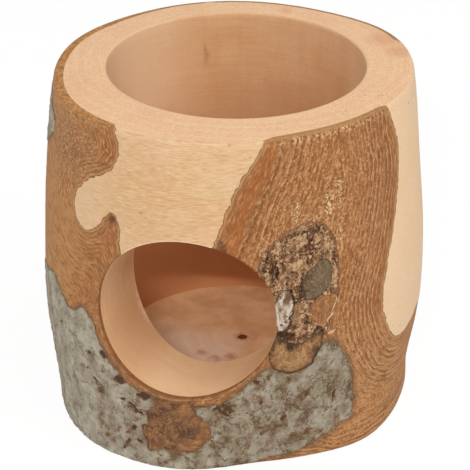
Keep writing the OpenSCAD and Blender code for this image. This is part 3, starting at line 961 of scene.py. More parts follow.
# Marks on the log: turn, height in mm, half width and half height in mm, strength
scars = [(-10.5, 14, 2.0, 3.0, 0.45), (-9.4, 22.5, 2.2, 2.4, 0.55), (-11, 6.4, 2.6, 1.4, 0.5),
         (-19, 40.5, 1.6, 1.5, 1.0), (-24.5, 38.8, 2.0, 1.4, 0.8), (-27.5, 31, 2.4, 1.2, 0.5),
         (-20.5, 25.5, 2.4, 2.6, 0.65), (-13.5, 32.5, 2.6, 1.8, 0.9), (-19.4, 34.3, 1.2, 2.0, 0.5),
         (-6, 28.5, 2.4, 1.8, 1.0), (-13, 25, 0.9, 0.8, 0.9), (-21, 12, 1.6, 4.0, 0.5),
         (-18.7, 7.5, 1.4, 1.6, 0.6), (-14.8, 11.6, 1.2, 1.6, 0.5), (-31, 42, 2.0, 1.2, 0.5),
         (17.4, 25.8, 3.0, 2.2, 0.8), (26, 29, 2.2, 3.4, 0.4), (29.2, 38, 1.4, 2.0, 0.6),
         (35.2, 34.8, 1.6, 2.2, 0.65), (42.4, 28, 1.8, 2.6, 0.55), (43.5, 19, 1.4, 2.0, 0.5),
         (34.3, 20, 1.8, 4.2, 0.55), (28.6, 14, 2.0, 1.6, 0.6), (42.4, 11.3, 2.4, 1.8, 0.65),
         (46.6, 9.8, 1.8, 1.4, 0.6), (20.4, 10.4, 1.3, 3.0, 0.55), (23.5, 9, 1.4, 3.4, 0.5),
         (29.4, 9, 1.2, 2.0, 0.5), (34.7, 7.8, 2.2, 1.2, 0.45), (22.6, 18.5, 1.6, 2.6, 0.5),
         (44.7, 34.4, 1.8, 1.4, 0.5), (51.7, 27, 1.4, 4.4, 0.45), (52.6, 14, 1.8, 2.0, 0.5),
         (28.2, 5, 2.4, 1.0, 0.5), (165, 40, 2.4, 1.6, 0.8), (182, 25, 1.8, 2.2, 0.7),
         (155, 22, 2.2, 1.4, 0.7), (-60, 30, 2.2, 1.6, 0.6), (-66, 16, 1.6, 3.0, 0.6),
         (-2, 25.4, 4.0, 1.6, 0.5), (-8.4, 24.4, 3.0, 2.4, 0.45), (-5, 22, 3.0, 1.8, 0.5),
         (-9.5, 18, 2.4, 2.6, 0.4), (15.6, 24.6, 3.6, 2.6, 0.45)]
barkScars = [(-7, 22.5, 2.0, 1.6, 0.8), (5.8, 15.8, 4.6, 4.2, 0.75), (-11, 5, 1.0, 1.8, 0.7),
             (-15.4, 93.6, 2.6, 2.2, 1.0), (-3.4, 21.2, 2.4, 1.5, 0.9), (-0.6, 24, 2.6, 1.4, 1.0),
             (2.4, 26.4, 2.8, 1.2, 1.0), (-1.4, 27.6, 2.2, 0.9, 0.8)]
# dark strokes of the crust and of the inner bark, then pale ones, through turns and heights
cracks = [[(-12.7, 5), (-11.6, 8.4), (-8.6, 9.8), (-5, 8.4)],
          [(-10.4, 24), (-8.6, 21.4), (-6, 20.4)], [(-12, 12), (-9.6, 13.4), (-8, 16.6)],
          [(-38, 43), (-35, 43.6), (-33, 42.6)],
          [(-25.3, 31.7), (-28.2, 30), (-30, 31.6)], [(-22.6, 29.2), (-21.3, 27), (-20.4, 24.6)],
          [(24.5, 37.3), (27.4, 33.8), (28.4, 30), (27.1, 26.5)],
          [(14, 28.6), (15.5, 24.6), (18, 22.6), (20.8, 22.8)],
          [(42.2, 28.4), (41, 26.3), (40.4, 24.2), (38.6, 23.5)],
          [(34.6, 23), (34.2, 18)], [(51.4, 25), (50.8, 20)],
          [(-7.4, 22.4), (-4.6, 23.4), (-1.6, 25), (1.3, 26.4)],
          [(13.6, 25.4), (16, 27.4), (19.4, 26.6)]]
barkCracks = [[(-5.4, 20.2), (-3.4, 21.4), (-0.6, 24.2), (1.6, 26), (4, 27.4)],
              [(-12, 3), (-10.4, 6.5), (-7.5, 9.6)], [(-7.5, 9.6), (-5, 10), (-1, 8.6), (3, 8.2)],
              [(-3, 25.4), (-0.6, 27), (2, 28)], [(7, 27.4), (9, 25), (10, 23)],
              [(14.6, 90.5), (15.8, 88), (17, 86.4)]]
paleLines = [[(52.2, 54.7), (51.3, 51.1), (48.5, 50.1), (45.6, 51.6)], [(50.2, 66), (51, 62)]]
# redder thumb and foot of the left sheet, and end of the ledge
ruddySpots = [(-16.5, 85, 5.0, 9.0, 0.6), (-27, 58, 7.0, 12.0, 0.4), (21, 86, 4.0, 7.0, 0.5)]
# purple grey of the left lobe, and its speckle
greySpots = [(-36, 112, 13.0, 12.0, 0.6)]
lobeSpots = [(-31, 109, 24.0, 18.0, 1.0), (-50, 114, 16.0, 8.0, 0.8)]
rawSpots = [(1, 16, 13.0, 9.5, 1.0), (1, 25.5, 6.0, 3.5, 0.8), (-9, 8, 4.0, 5.0, 0.9),
            (-5, 20, 4.0, 4.0, 0.9)]
fuzzSpots = [(48.5, 99, 2.6, 5.5, 0.9), (52, 103, 1.6, 3.0, 0.7), (37.5, 97, 1.6, 5.0, 0.7),
             (43, 93, 3.6, 2.0, 0.6), (52, 86, 2.0, 5.0, 0.4), (38, 89, 8.0, 2.2, 0.6),
             (50, 122.4, 26.0, 1.0, 0.6), (-40, 122.4, 24.0, 1.2, 0.3), (28, 84, 2.4, 6.0, 0.4)]
# the same on the knot's collar: pale plates, then slits and hollows
collarPlates = [(38.5, 87, 2.4, 2.6, 0.9), (38, 79, 3.4, 2.2, 0.8), (47, 84.5, 2.4, 2.4, 0.6),
                (50, 72, 1.0, 6.5, 0.9), (47.4, 78.6, 2.4, 1.4, 0.8), (33, 74, 1.5, 2.6, 0.7),
                (36.5, 83, 1.6, 1.6, 0.4), (38.6, 59, 2.2, 4.6, 0.4), (44, 86.5, 1.4, 1.4, 0.5)]
collarSlits = [(30, 79.5, 0.7, 3.0, 0.65), (31.6, 77.5, 0.7, 3.6, 0.65), (28.8, 82, 0.6, 2.6, 0.6),
               (33.6, 79, 0.6, 2.6, 0.55), (41.7, 85.5, 1.8, 3.0, 0.4), (36, 66, 1.1, 4.2, 0.9),
               (39, 69.5, 0.9, 4.4, 0.6), (38.4, 65.6, 1.8, 1.8, 0.6), (34, 53.6, 3.2, 3.0, 0.8),
               (44.2, 51.6, 2.8, 2.2, 0.6), (42.5, 90, 5.0, 1.6, 0.4), (50, 79, 1.4, 3.6, 0.5),
               (40.6, 57, 0.8, 3.2, 0.6)]
# dark notches of the fold under the branch
lipNotches = [(35.6, 49.5, 1.6, 3.0, 0.9), (33.7, 52, 2.4, 1.6, 0.8), (43, 45, 1.6, 4.0, 0.5),
              (31, 49, 1.2, 3.0, 0.5)]
# stains of the wood and the bore
woodStains = [(104, 66, 4.0, 7.0, 0.5), (98, 78, 2.0, 5.0, 0.4), (1.5, 111, 3.0, 0.8, 0.35)]
boreStains = [(214, 108, 1.2, 4.0, 0.4)]
# marks on level faces: x, y, reach, strength
floorStains = [(0, 7, 3.0, 0.8), (-10.4, -8.4, 2.6, 0.5), (0.5, -7.6, 2.8, 0.6),
               (-4.2, -11, 3.0, 0.5), (3.4, 9, 3.0, 0.3), (-29, 2, 5.0, 0.15)]
topStains = [(42, 38, 7.0, 0.5), (51, 29, 6.0, 0.5), (1, 51, 3.0, 0.4)]
topSpecks = [(52, -11, 7.0, 0.8), (58, -10, 4.0, 0.8), (46, -25, 6.0, 0.5), (-15, -56, 3.0, 0.4)]


# Sideways and upward shifts that make a mark ragged, and its edge uneven
def raggedness(turn, z, seed):
    p = facePoints(turn, z)
    side, rise, uneven = rough(p, 2.0, seed), rough(p, 2.0, seed + 7), rough(p, 1.5, seed + 13)
    return 0.5 * side, 0.5 * rise, 1 + 0.5 * uneven


def marks(spots, turn, z, seed):  # soft ragged ovals, strongest wins
    side, rise, uneven = raggedness(turn, z, seed)
    total = np.zeros(turn.shape)
    for at, up, wide, tall, strength in spots:
        d = np.hypot((shortWay(turn - at) * arc + side) / wide, (z + rise - up) / tall) * uneven
        total = np.maximum(total, strength * smooth(1.3, 0.35, d))
    return total


def strokes(lines, turn, z, wide, seed):  # ragged lines through a few places
    side, rise, uneven = raggedness(turn, z, seed)
    best = np.full(turn.shape, 9.0)
    for line in lines:
        for (t0, z0), (t1, z1) in zip(line, line[1:]):
            s, up = shortWay(turn - t0) * arc + side, z - z0 + rise
            ds, dz = (t1 - t0) * arc, z1 - z0
            along = np.clip((s * ds + up * dz) / (ds * ds + dz * dz), 0, 1)
            best = np.minimum(best, np.hypot(s - along * ds, up - along * dz))
    broken = noise(facePoints(turn, z), 2.4, seed + 19)
    return smooth(wide, 0.25 * wide, best * uneven) * smooth(-0.5, 0.4, broken)


def flatMarks(spots, points):  # the same on a level face
    total = np.zeros(len(points))
    for x, y, reach, strength in spots:
        d = np.hypot(points[:, 0] - x, points[:, 1] - y) / reach
        total = np.maximum(total, strength * smooth(1.3, 0.3, d))
    return total


# The wood: face, top ring, bore, floor, doorway, base and the hole of the pith, as one closed mesh
body = {
    "materials": {"face": faceWood, "top": topWood, "bore": boreWood, "floor": floorWood,
                  "tunnel": tunnelWood, "base": topWood},
    "boreRows": 46, "discRings": 33, "doorStep": 1.25,
    # places of the rings between the outer edge and the bore, and between the face and the bore
    "topShares": (0.0, 0.2, 0.4, 0.6, 0.8, 0.94),
    "doorShares": (0.03, 0.15, 0.3, 0.45, 0.6, 0.75, 0.88, 0.97),
    "seamSlack": 0.2, "levelSlack": 0.001, "topInset": 0.8,
    "far": 9.0,  # distance to an edge given to corners that lie far from it
}


def makeLogBody():
    boreR, floorZ, h = chamber["boreR"], chamber["floorZ"], log["height"]
    slack, columns = body["levelSlack"], log["columns"]
    kindOf = list(body["materials"]).index
    points, tris, kinds, count = [], [], [], 0

    def openLoop(patch, start, test, angle):  # open corners that pass a test, in order of an angle
        ids = np.unique(openEdges(patch["tris"]))
        ids = ids[test[ids]]
        order = np.argsort(angle[ids])
        return start + ids[order], angle[ids][order]

    def addPoints(p):
        nonlocal count
        points.append(p)
        count += len(p)
        return np.arange(count - len(p), count)

    def addTris(t, kind, flip=False):
        tris.append(t[:, ::-1] if flip else t)
        kinds.append(np.full(len(t), kindOf(kind)))

    def addRing(loop, ring, ringAngle, kind, flip=False):  # next row of corners, zipped on
        fresh = addPoints(ring)
        addTris(zipRows(*loop, fresh, ringAngle), kind, flip)
        return fresh, ringAngle

    def level(r, t, height):
        return np.stack([r * np.cos(t), r * np.sin(t), np.full(t.shape, height)], 1)

    def onSeam(gap, z, low):  # beside the doorway, away from the level edges
        return (z > low + 1) & (z < h - 1) & (np.abs(gap) < body["seamSlack"])

    skin = cutBy(cutBy(facePatch(), sheetGap, both=True), doorwayGap)
    turn, z = skin["turn"], skin["z"]
    depth = np.where(z >= rowHeights(1)[bark["footRow"]] - 1e-6, bedDepth(turn, z), 0.0)
    addPoints(skinPoint(turn, z, depth))
    addTris(skin["tris"], "face")
    around = (front + turn) % 360
    top = openLoop(skin, 0, z > h - slack, around)
    foot = openLoop(skin, 0, z < slack, around)
    doorAngle = degreesOf(z - doorway["z"], facePoint(turn, z)[0] - doorway["x"])
    door = openLoop(skin, 0, onSeam(doorwayGap(turn, z), z, 0.0), doorAngle)

    # bore wall: a cylinder with a rounded upper edge
    rr = chamber["rimRound"]
    boreRows = np.concatenate([np.linspace(floorZ, h - rr, body["boreRows"]),
                               h - rr + rr * np.sin(np.radians([30.0, 60.0, 90.0]))])
    bore = gridPatch(log["firstTurn"] + 360.0 / columns * np.arange(columns), boreRows, True)

    def boreGap(turn, z):
        theta = np.radians(front + turn)
        gap = np.hypot(boreR * np.cos(theta) - doorway["x"], z - doorway["z"]) - doorway["r"]
        return np.where(np.sin(theta) < 0, gap, 60.0)

    bore = cutBy(bore, boreGap)
    bt, bz = bore["turn"], bore["z"]
    theta = np.radians(front + bt)
    lift = np.clip(bz - (h - rr), 0.0, rr)
    radius = boreR + rr - np.sqrt(rr * rr - lift * lift)
    start = count
    addPoints(np.stack([radius * np.cos(theta), radius * np.sin(theta), bz], 1))
    addTris(bore["tris"] + start, "bore", flip=True)
    around = (front + bt) % 360
    boreTop = openLoop(bore, start, bz > h - slack, around)
    boreLow = openLoop(bore, start, bz < floorZ + slack, around)
    doorAngle = degreesOf(bz - doorway["z"], boreR * np.cos(theta) - doorway["x"])
    boreDoor = openLoop(bore, start, onSeam(boreGap(bt, bz), bz, floorZ), doorAngle)

    # top: rings from the outer edge to the bore
    ringAngle = np.arange(0.0, 360.0, 360.0 / columns)
    t = np.radians(ringAngle)
    outR = faceRadius(t, np.full(t.shape, h)) - log["topRound"] - bark["innerT"] - body["topInset"]
    loop = top
    for share in body["topShares"]:
        r = outR * (1 - share) + (boreR + rr) * share
        loop = addRing(loop, level(r, t, h), ringAngle, "top")
    addTris(zipRows(*loop, *boreTop), "top")

    # floor and base: rings that draw in to the hole of the pith
    def discRings(loop, height, outer, kind, flip):
        for share in np.linspace(0.04, 1.0, body["discRings"]):
            a = np.arange(0.0, 360.0, 360.0 / (48 + 8 * round(46 * (1 - share))))
            t = np.radians(a)
            hole = level(chamber["pithR"], t, height) + [*chamber["pithAt"], 0.0]
            ring = level(outer(t), t, height) * (1 - share) + hole * share
            loop = addRing(loop, ring, a, kind, flip)
        return loop

    def footRadius(t):
        return faceRadius(t, np.zeros(t.shape)) - log["baseRound"]

    upper = discRings(boreLow, floorZ, lambda t: boreR, "floor", False)
    lower = discRings(foot, 0.0, footRadius, "base", True)
    addTris(zipRows(*upper, *lower), "floor")

    # doorway: rings of its cylinder from the face to the bore
    ringAngle = np.arange(0.0, 360.0, body["doorStep"])
    t = np.radians(ringAngle)
    dx, dz = doorway["x"] + doorway["r"] * np.cos(t), doorway["z"] + doorway["r"] * np.sin(t)
    outY = np.full(t.shape, -log["baseR"])
    for _ in range(20):  # closes in on the face
        r = faceRadius(np.arctan2(outY, dx), dz)
        outY = -np.sqrt(r * r - dx * dx)
    outY = outY + bedDepth(np.degrees(np.arctan2(outY, dx)) + 90.0, dz)
    inY = -np.sqrt(boreR * boreR - dx * dx)
    loop = door
    for share in body["doorShares"]:
        ring = np.stack([dx, outY * (1 - share) + inY * share, dz], 1)
        loop = addRing(loop, ring, ringAngle, "tunnel", True)
    addTris(zipRows(*loop, *boreDoor), "tunnel", True)

    points = np.concatenate(points)
    px, py, pz = points.T
    bodyTurn, fromAxis = np.degrees(np.arctan2(py, px)) + 90.0, np.hypot(px, py)
    rest = np.full(len(points) - len(turn), body["far"])  # corners off the face
    onFloor, onTop = np.abs(pz - floorZ) < 0.01, pz > h - 0.01
    stain = np.where(fromAxis < boreR + 1.0, marks(boreStains, bodyTurn, pz, 53),
                     marks(woodStains, bodyTurn, pz, 51))
    stain = np.where(onFloor, flatMarks(floorStains, points), stain)
    # torn fibres on the left of the tunnel's inner edge
    rimAngle = degreesOf(pz - doorway["z"], px - doorway["x"])
    reach = 0.7 + 3.0 * np.exp(-((rimAngle - 209.0) / 9.0) ** 2)
    onLeft = smooth(140.0, 160.0, rimAngle) * smooth(232.0, 212.0, rimAngle)
    values = {"gap": np.concatenate([sheetGap(turn, z), -rest]),
              "rim": np.concatenate([np.clip(doorwayGap(turn, z), 0.0, body["far"]), rest]),
              "stain": np.where(onTop, flatMarks(topStains, points), stain),
              "torn": smooth(reach, 0.1, fromAxis - boreR) * onLeft,
              "speckled": onTop * flatMarks(topSpecks, points)}
    piece = putMesh("logBody", points, np.concatenate(tris), body["materials"].values(),
                    np.concatenate(kinds), values)
    settle(piece, "sapwood", "log_body")


# Closes a patch between two depths, with values at its corners
def putShell(name, node, slot, material, patch, depth, bed, values):
    turn, z = patch["turn"], patch["z"]
    points, tris = closeShell(skinPoint(turn, z, depth), skinPoint(turn, z, bed), patch["tris"])
    values = {key: np.tile(value, 2) for key, value in values.items()}
    settle(putMesh(name, points, tris, [material], None, values), slot, node)


# A sheet of inner bark: the face inside the bark's edge, on one side of the seam under the doorway
sheet = {"sunk": 0.14, "uneven": 0.07, "scarDepth": 0.25, "fuzzRise": 0.15, "least": 0.06,
         "crackWide": 1.6, "paleWide": 0.8, "lineGap": 2.4, "fineLineGap": 1.3, "ledgeAt": 8.6}


def makeSheet(name, node, outlineName, gapOf, seamSide=0):
    patch = cutBy(facePatch(outlineName, 1, bark["footRow"]), gapOf)
    if seamSide:
        patch = cutPatch(patch, seamSide * (patch["turn"] - bark["seamAt"]))
    patch = cutBy(patch, doorwayGap)
    if seamSide > 0:
        for other in ("collar", "lip"):
            patch = cutBy(patch, knotGap, other, sign=-1)
    turn, z = patch["turn"], patch["z"]
    gap, covered, rim = gapOf(turn, z), anyCrustGap(turn, z), doorwayGap(turn, z)
    fuzz = np.maximum(marks(fuzzSpots, turn, z, 61),
                      strokes(paleLines, turn, z, sheet["paleWide"], 63))
    scar = np.maximum(marks(barkScars, turn, z, 81),
                      strokes(barkCracks, turn, z, sheet["crackWide"], 85))
    depth = (sheet["sunk"] * smooth(0.1, 1.5, gap) + bark["outerT"] * smooth(-0.1, 1.4, covered)
             + sheet["scarDepth"] * scar - sheet["fuzzRise"] * fuzz
             + sheet["uneven"] * rough(skinPoint(turn, z, 0.0), 2.5, 71)) * smooth(0.0, 0.6, gap)
    bed = np.maximum(bedDepth(turn, z), depth + sheet["least"])
    # lines run along the edges of the sheet and bend along the doorway's rim
    sides = outlineGap("rightSides" if seamSide > 0 else outlineName, turn, z, 60.0)
    beside = smooth(10.0, 4.0, rim) * smooth(62.0, 50.0, z)
    layer = sides * (1 - beside) + rim * beside
    onLeft, farRight = seamSide < 0, smooth(44.0, 52.0, turn)
    near = 1.0 if onLeft else farRight
    lined = smooth(6.6 - 5.6 * near, 8.4 - 5.4 * near, sides)
    lined = lined * (1 - 0.6 * smooth(13.0, 20.0, sides))
    ledge = smooth(0.6, 5.0, sides) * smooth(sheet["ledgeAt"], 7.2, sides) * (1 - farRight)
    dash = np.exp(-((sides - sheet["ledgeAt"]) / 0.5) ** 2) * (1 - farRight) * smooth(62.0, 75.0, z)
    spacing = sheet["lineGap"] - 0.5 * farRight
    calm, speckled = 0.6 * ledge, smooth(4.0, 16.0, sides)
    if onLeft:  # no ledge, and finer lines, upright on the far left
        layer = layer + 1.6 * arc * np.maximum(-50.0 - turn, 0.0)
        lined = lined * (0.5 - 0.25 * smooth(5.0, 11.0, sides))
        ledge, dash, spacing = 0 * ledge, 0 * dash, np.full(turn.shape, sheet["fineLineGap"])
        calm, speckled = 0.3 * smooth(62.0, 80.0, z), 0.45 * smooth(84.0, 66.0, z)
    # the closeness to the crust's edge carries dust and painted shade beside the crust
    values = {"gap": gap, "layer": layer, "lined": lined, "spacing": spacing, "ledge": ledge,
              "dash": dash, "calm": calm, "fuzz": fuzz, "scar": scar,
              "rim": np.clip(rim, 0.0, body["far"]), "dustAndShadeByCrust": smooth(-2.0, -0.2, covered),
              "grey": marks(greySpots, turn, z, 87), "ruddy": marks(ruddySpots, turn, z, 79),
              "speckled": np.maximum(speckled, marks(lobeSpots, turn, z, 89)),
              "raw": marks(rawSpots, turn, z, 83) * smooth(0.5, -0.5, covered)}
    putShell(name, node, "inner_bark", innerBark, patch, depth, bed, values)


# A patch of outer bark: a crust with plates, pits and scars, broken off at its edge
crust = {"sunk": 0.25, "rise": 0.2, "uneven": 0.16, "plateSize": 5.0, "grooves": 0.22, "dome": 0.15,
         "scarDepth": 0.5, "crackWide": 0.9, "overlap": 0.35}


def makeCrustPatch(name, node, outlineName, without=()):
    patch = cutBy(facePatch(outlineName, 2, bark["footRow"]), crustGap, outlineName)
    patch = cutBy(patch, doorwayGap)
    for other in without:
        patch = cutBy(patch, knotGap if other in knotOutlines else crustGap, other, sign=-1)
    turn, z = patch["turn"], patch["z"]
    edge, face = crustGap(outlineName, turn, z), skinPoint(turn, z, 0.0)
    near, border, _ = pebbles(face * [1, 1, 0.8], crust["plateSize"], 91)
    scar = np.maximum(marks(scars, turn, z, 81), strokes(cracks, turn, z, crust["crackWide"], 85))
    grooves = smooth(0.16, 0.0, border) * smooth(-0.2, 0.3, noise(face, 9.0, 95))
    depth = (crust["sunk"] - crust["rise"] * smooth(0.0, 0.7, edge)
             + crust["uneven"] * rough(face, 1.8, 93) + crust["grooves"] * grooves
             - crust["dome"] * (1 - near) + crust["scarDepth"] * scar)
    putShell(name, node, "outer_bark", outerBark, patch, depth, bark["outerT"] + crust["overlap"],
             {"edge": edge, "scar": scar})


# A piece of the knot: a patch at its own height over the face, with its own relief
def makeKnotPiece(name, node, outlineName, slot, material, relief, bed, without=(), socket=True):
    patch = cutBy(facePatch(outlineName, 3, bark["footRow"]), knotGap, outlineName)
    patch = cutBy(patch, doorwayGap)
    for other in without:
        patch = cutBy(patch, knotGap, other, sign=-1)
    if socket:
        patch = cutBy(patch, stubGap)
    turn, z = patch["turn"], patch["z"]
    edge = knotGap(outlineName, turn, z)
    depth, crag, tone = relief(turn, z, skinPoint(turn, z, 0.0), edge)
    putShell(name, node, slot, material, patch, depth, np.maximum(depth + 0.3, bed),
             {"edge": edge, "crag": crag, "tone": tone})


def stubGap(turn, z):  # distance outside the leaf-shaped end of the dead branch
    lean = math.radians(knot["stubLean"])
    side, up = (turn - knot["turn"]) * arc, z - knotZ
    across = side * math.cos(lean) - up * math.sin(lean)
    along = side * math.sin(lean) + up * math.cos(lean)
    wide, tall = across / knot["stubWide"], along / knot["stubTall"]
    return (np.hypot(wide, tall) / stubWobble(np.arctan2(tall, wide)) - 1) * knot["stubWide"]


def stubWobble(angle):  # its outline is drawn to blunt points and uneven all round
    return (1 + 0.05 * np.cos(4 * angle) + 0.04 * np.cos(angle) + 0.03 * np.cos(3 * angle + 1.9)
            + 0.015 * np.cos(7 * angle) + 0.012 * np.cos(11 * angle + 1.0))


# Broken plates, drawn out upwards: the gap between them and a tone for each
def plates(face, size, seed):
    bend = np.stack([noise(face, size * 0.7, seed + 20 + k) for k in range(3)], 1)
    _, border, tone = pebbles((face + 0.4 * size * bend) * [1.0, 1.0, 0.6], size, seed)
    return border, tone


def collarRelief(turn, z, face, edge):  # crumbs big and small, with the plates and slits seen
    border, tone = plates(face, 2.2, 101)
    border2, tone2 = plates(face, 1.0, 111)
    pale, dark = marks(collarPlates, turn, z, 121), marks(collarSlits, turn, z, 123)
    crumb = 0.5 * smooth(0.0, 0.25, border) * tone + 0.5 * smooth(0.0, 0.3, border2) * tone2
    out = smooth(-0.2, 1.3, edge + 0.8 * noise(face, 2.0, 105))
    depth = 0.35 - (0.2 + 0.9 * crumb + 0.5 * pale - 0.7 * dark) * out
    shade = 0.56 + 0.32 * pale - 0.45 * dark + 0.35 * (tone - 0.5) + 0.35 * (tone2 - 0.5)
    crag = 0.3 + 0.6 * crumb + 0.4 * pale - 0.5 * dark
    return np.maximum(depth, -1.0), crag, shade


def lipRelief(turn, z, face, edge):  # a fold: a round rise from its edge, with a dark notch on top
    border, tone = plates(face, 1.5, 131)
    fold = np.sqrt(smooth(-0.1, 4.2, edge))
    depth = 0.4 - 1.4 * fold + 0.4 * rough(face, 2.2, 141) - 0.15 * smooth(0.0, 0.4, border)
    dark = marks(lipNotches, turn, z, 145)
    # painted shade and highlight: the tone runs from dark at the fold's edge to pale on its top
    shade = 0.2 + 0.5 * fold + 0.4 * (tone - 0.5) - 0.5 * dark
    return np.maximum(depth, -1.2), 0.3 + 0.4 * fold - 0.5 * dark, shade


def flakeRelief(turn, z, face, edge):  # a curled plate, streaked above and pitted below
    ridge = noise(face * [1.0, 1.0, 0.3], 0.8, 151)
    pits = noise(face, 1.0, 155)
    low = smooth(68.0, 64.0, z)
    depth = -1.6 + 0.3 * ridge + 0.5 * smooth(1.5, 0.0, edge) + 0.2 * rough(face, 2.0, 153)
    crag = 0.5 - 0.6 * low * smooth(0.4, 0.75, pits) - 0.4 * smooth(0.5, 0.0, edge)
    return np.maximum(depth, -2.0), crag, 0.38 + 0.28 * low + 0.75 * ridge


def scaleRelief(turn, z, face, edge):  # a smooth plate, its rim raised and free on two sides
    depth = (0.15 - 0.35 * smooth(0.0, 2.0, edge) - 0.2 * smooth(0.7, 0.2, edge)
             + 0.1 * rough(face, 1.5, 161))
    free = smooth(-2.0, 2.0, (turn - 46.5) * arc - (z - 59.0))
    return np.maximum(depth, -0.4), np.full(turn.shape, 0.6), free


# Triangles of a lathed surface whose first and last rows are one corner each
def lathed(rows, cols):
    col, row = np.meshgrid(np.arange(cols), np.arange(rows - 1))
    a = (row * cols + col).ravel()
    b = (row * cols + (col + 1) % cols).ravel()
    tris = np.concatenate([np.stack([a, b + cols, b], 1), np.stack([a, a + cols, b + cols], 1)])
    merged = np.arange(rows * cols)
    merged[:cols], merged[-cols:] = 0, rows * cols - 1
    tris = merged[tris]
    a, b, c = tris.T
    tris = tris[(a != b) & (b != c) & (a != c)]
    used, tris = np.unique(tris, return_inverse=True)
    return used, tris.reshape(-1, 3)


def profileRings(profile, columns):  # share of the way out, angle and height of each corner
    phi = np.radians(np.arange(0, 360, 360 / columns))
    return (np.repeat(profile[:, 0], columns), np.tile(phi, len(profile)),
            np.repeat(profile[:, 1], columns))


# The dead branch: rings from its middle over the rim and down into the wood
stub = {
    "columns": 96,
    # share of the way out, and how far it stands out of the face
    "profile": np.array([(0.0, 0.75), (0.1, 0.75), (0.2, 0.74), (0.3, 0.72), (0.4, 0.7),
                         (0.5, 0.66), (0.6, 0.6), (0.7, 0.54), (0.8, 0.46), (0.88, 0.36),
                         (0.95, 0.2), (1.0, -0.2), (0.9, -1.0), (0.72, -2.0), (0.72, -6.0),
                         (0.4, -6.0), (0.0, -6.0)]),
}


def makeStub():
    theta, lean = np.radians(front + knot["turn"]), math.radians(knot["stubLean"])
    faceR = float(faceRadius(np.array([theta]), np.array([knotZ]))[0])
    share, angle, out = profileRings(stub["profile"], stub["columns"])
    spread = share * stubWobble(angle)
    across = spread * knot["stubWide"] * np.cos(angle)
    along = spread * knot["stubTall"] * np.sin(angle)
    side = across * math.cos(lean) + along * math.sin(lean)
    up = along * math.cos(lean) - across * math.sin(lean)
    flat = np.stack([side, up, np.zeros(side.shape)], 1)
    out = out + np.where(out > 0.0, 0.2 * rough(flat, 2.4, 171) + 0.1 * rough(flat, 0.9, 175), 0.0)
    # the face falls away to the sides
    reach = out + np.sqrt(np.maximum(faceR ** 2 - side ** 2, 0.0))
    points = np.stack([reach * math.cos(theta) - side * math.sin(theta),
                       reach * math.sin(theta) + side * math.cos(theta), knotZ + up], 1)
    used, tris = lathed(len(stub["profile"]), stub["columns"])
    values = {"ring": (share - 0.35 * np.cos(angle))[used]}
    piece = putMesh("deadBranch", points[used], tris, [deadWood], None, values)
    settle(piece, "dead_wood", "knot_stub")


# The pith: a rod in the floor with a crumbled, sunken top
pithRod = {
    "columns": 40, "play": 0.03, "crumbled": 0.12,
    # share of the way out, and height
    "profile": np.array([(0.0, 8.35), (0.35, 8.3), (0.65, 8.45), (0.88, 8.75), (1.0, 8.9),
                         (1.0, 6.0), (1.0, 3.0), (1.0, 0.05), (0.5, 0.02), (0.0, 0.02)]),
}


def makePithRod():
    share, angle, up = profileRings(pithRod["profile"], pithRod["columns"])
    r = share * (chamber["pithR"] - pithRod["play"])
    points = np.stack([r * np.cos(angle), r * np.sin(angle), up], 1) + [*chamber["pithAt"], 0.0]
    points[:, 2] += np.where(up > 8, pithRod["crumbled"] * noise(points, 0.8, 181), 0.0)
    used, tris = lathed(len(pithRod["profile"]), pithRod["columns"])
    settle(putMesh("pithRod", points[used], tris, [pithWood]), "pith", "pith")


makeLogBody()
makePithRod()
makeSheet("innerBarkLeft", "inner_bark_left", "innerLeft", frontGap, -1)
makeSheet("innerBarkRight", "inner_bark_right", "innerRight", frontGap, 1)
makeSheet("innerBarkBack", "inner_bark_back", "innerBack", backGap)
makeCrustPatch("outerBarkLeft", "outer_bark_left", "outerLeft")
makeCrustPatch("outerBarkFront", "outer_bark_front", "outerFront", ("outerLeft", "collar", "lip"))
makeCrustPatch("outerBarkBack", "outer_bark_back", "outerBack")
makeCrustPatch("outerBarkRim", "outer_bark_rim", "outerRim")
makeStub()
makeKnotPiece("knotCollar", "knot_collar", "collar", "knot_bark", collarBark, collarRelief, 2.5,
              ("lip", "scale"))
makeKnotPiece("knotFlake", "knot_flake", "flake", "outer_bark", flakeBark, flakeRelief, -0.4)
makeKnotPiece("knotLip", "knot_lip", "lip", "knot_bark", lipBark, lipRelief, 2.5, (), False)
makeKnotPiece("knotScale", "knot_scale", "scale", "inner_bark", scaleBark, scaleRelief, 2.5)
print("pieces made")


# Stage, light and camera

def seenAsWhite(tree):  # 1 for rays that look at the ground and background, 0 for light off them
    path = addNode(tree, "LightPath").outputs
    looked = calc(tree, "MAXIMUM", path["Is Camera Ray"], path["Is Glossy Ray"])
    return calc(tree, "MAXIMUM", looked, path["Is Transmission Ray"])


def makeStage():
    size = 3.0
    floor = bpy.data.meshes.new("floor")
    corners = [(-size, -size, 0), (size, -size, 0), (size, size, 0), (-size, size, 0)]
    floor.from_pydata(corners, [], [(0, 1, 2, 3)])
    ground = bpy.data.objects.new("floor", floor)
    bpy.context.scene.collection.objects.link(ground)
    material = bpy.data.materials.new("floorPaper")
    material.use_nodes = True
    tree = material.node_tree
    tree.nodes.clear()
    matt = addNode(tree, "BsdfDiffuse", {"Color": (0.9, 0.9, 0.9, 1.0)})
    glow = addNode(tree, "Emission", {"Color": (1.0, 1.0, 1.0, 1.0), "Strength": 1.03})
    mixed = addNode(tree, "MixShader", {0: product(tree, seenAsWhite(tree), 0.9),
                                        1: matt.outputs[0], 2: glow.outputs[0]})
    feed(tree, addNode(tree, "OutputMaterial").inputs["Surface"], mixed.outputs[0])
    floor.materials.append(material)


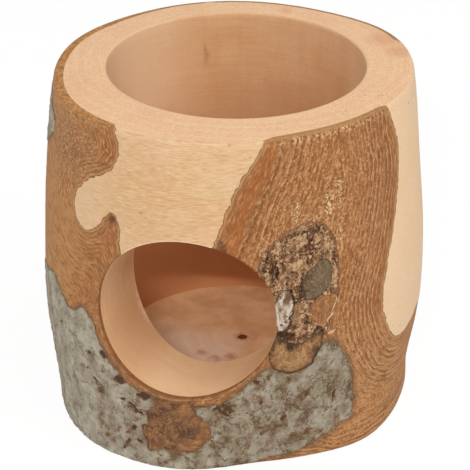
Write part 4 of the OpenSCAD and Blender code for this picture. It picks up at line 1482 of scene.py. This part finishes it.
def makeWorld(strength):
    world = bpy.data.worlds.new("studio")
    bpy.context.scene.world = world
    world.use_nodes = True
    tree = world.node_tree
    tree.nodes.clear()
    soft = addNode(tree, "Background", {"Color": (1.0, 0.985, 0.965, 1.0), "Strength": strength})
    white = addNode(tree, "Background", {"Color": (1.0, 1.0, 1.0, 1.0), "Strength": 1.0})
    mixed = addNode(tree, "MixShader", {0: seenAsWhite(tree), 1: soft.outputs[0],
                                        2: white.outputs[0]})
    feed(tree, addNode(tree, "OutputWorld").inputs["Surface"], mixed.outputs[0])


lamps = {  # place in metres, width, height and power
    "frontLamp": ((0.22, -0.975, 0.725), 0.24, 0.02, 5.0),
    "leftLamp": ((-0.9, -0.5, 0.55), 0.9, 0.9, 1.3),
    "rightLamp": ((0.82, -0.22, 0.91), 0.7, 0.7, 4.9),
    "topLamp": ((0.05, -0.05, 1.4), 0.5, 0.5, 1.2),
}
lampTarget, lampColour = (0.0, 0.0, 0.06), (1.0, 0.98, 0.95)


def makeLamp(name, place, wide, tall, power):
    lamp = bpy.data.lights.new(name, "AREA")
    lamp.shape, lamp.size, lamp.size_y = "ELLIPSE", wide, tall
    lamp.energy, lamp.color = power, lampColour
    holder = bpy.data.objects.new(name, lamp)
    holder.location = place
    dx, dy, dz = np.array(lampTarget) - np.array(place)
    tilt, around = math.atan2(math.hypot(dx, dy), -dz), math.atan2(dy, dx) - math.pi / 2
    holder.rotation_euler = (tilt, 0.0, around)
    bpy.context.scene.collection.objects.link(holder)


def makeCamera():
    view = {"place": (0.2170, -0.5987, 0.4019), "tilt": 61.5, "turn": 19.96, "lens": 153.2}
    camera = bpy.data.cameras.new("camera")
    camera.sensor_width, camera.lens = 36.0, view["lens"]
    holder = bpy.data.objects.new("camera", camera)
    holder.location = view["place"]
    holder.rotation_euler = (math.radians(view["tilt"]), 0.0, math.radians(view["turn"]))
    bpy.context.scene.collection.objects.link(holder)
    bpy.context.scene.camera = holder


makeStage()
makeWorld(0.46)
for lampName, settings in lamps.items():
    makeLamp(lampName, *settings)
makeCamera()
bpy.context.scene.view_settings.view_transform = "Standard"
print("stage, light and camera set")
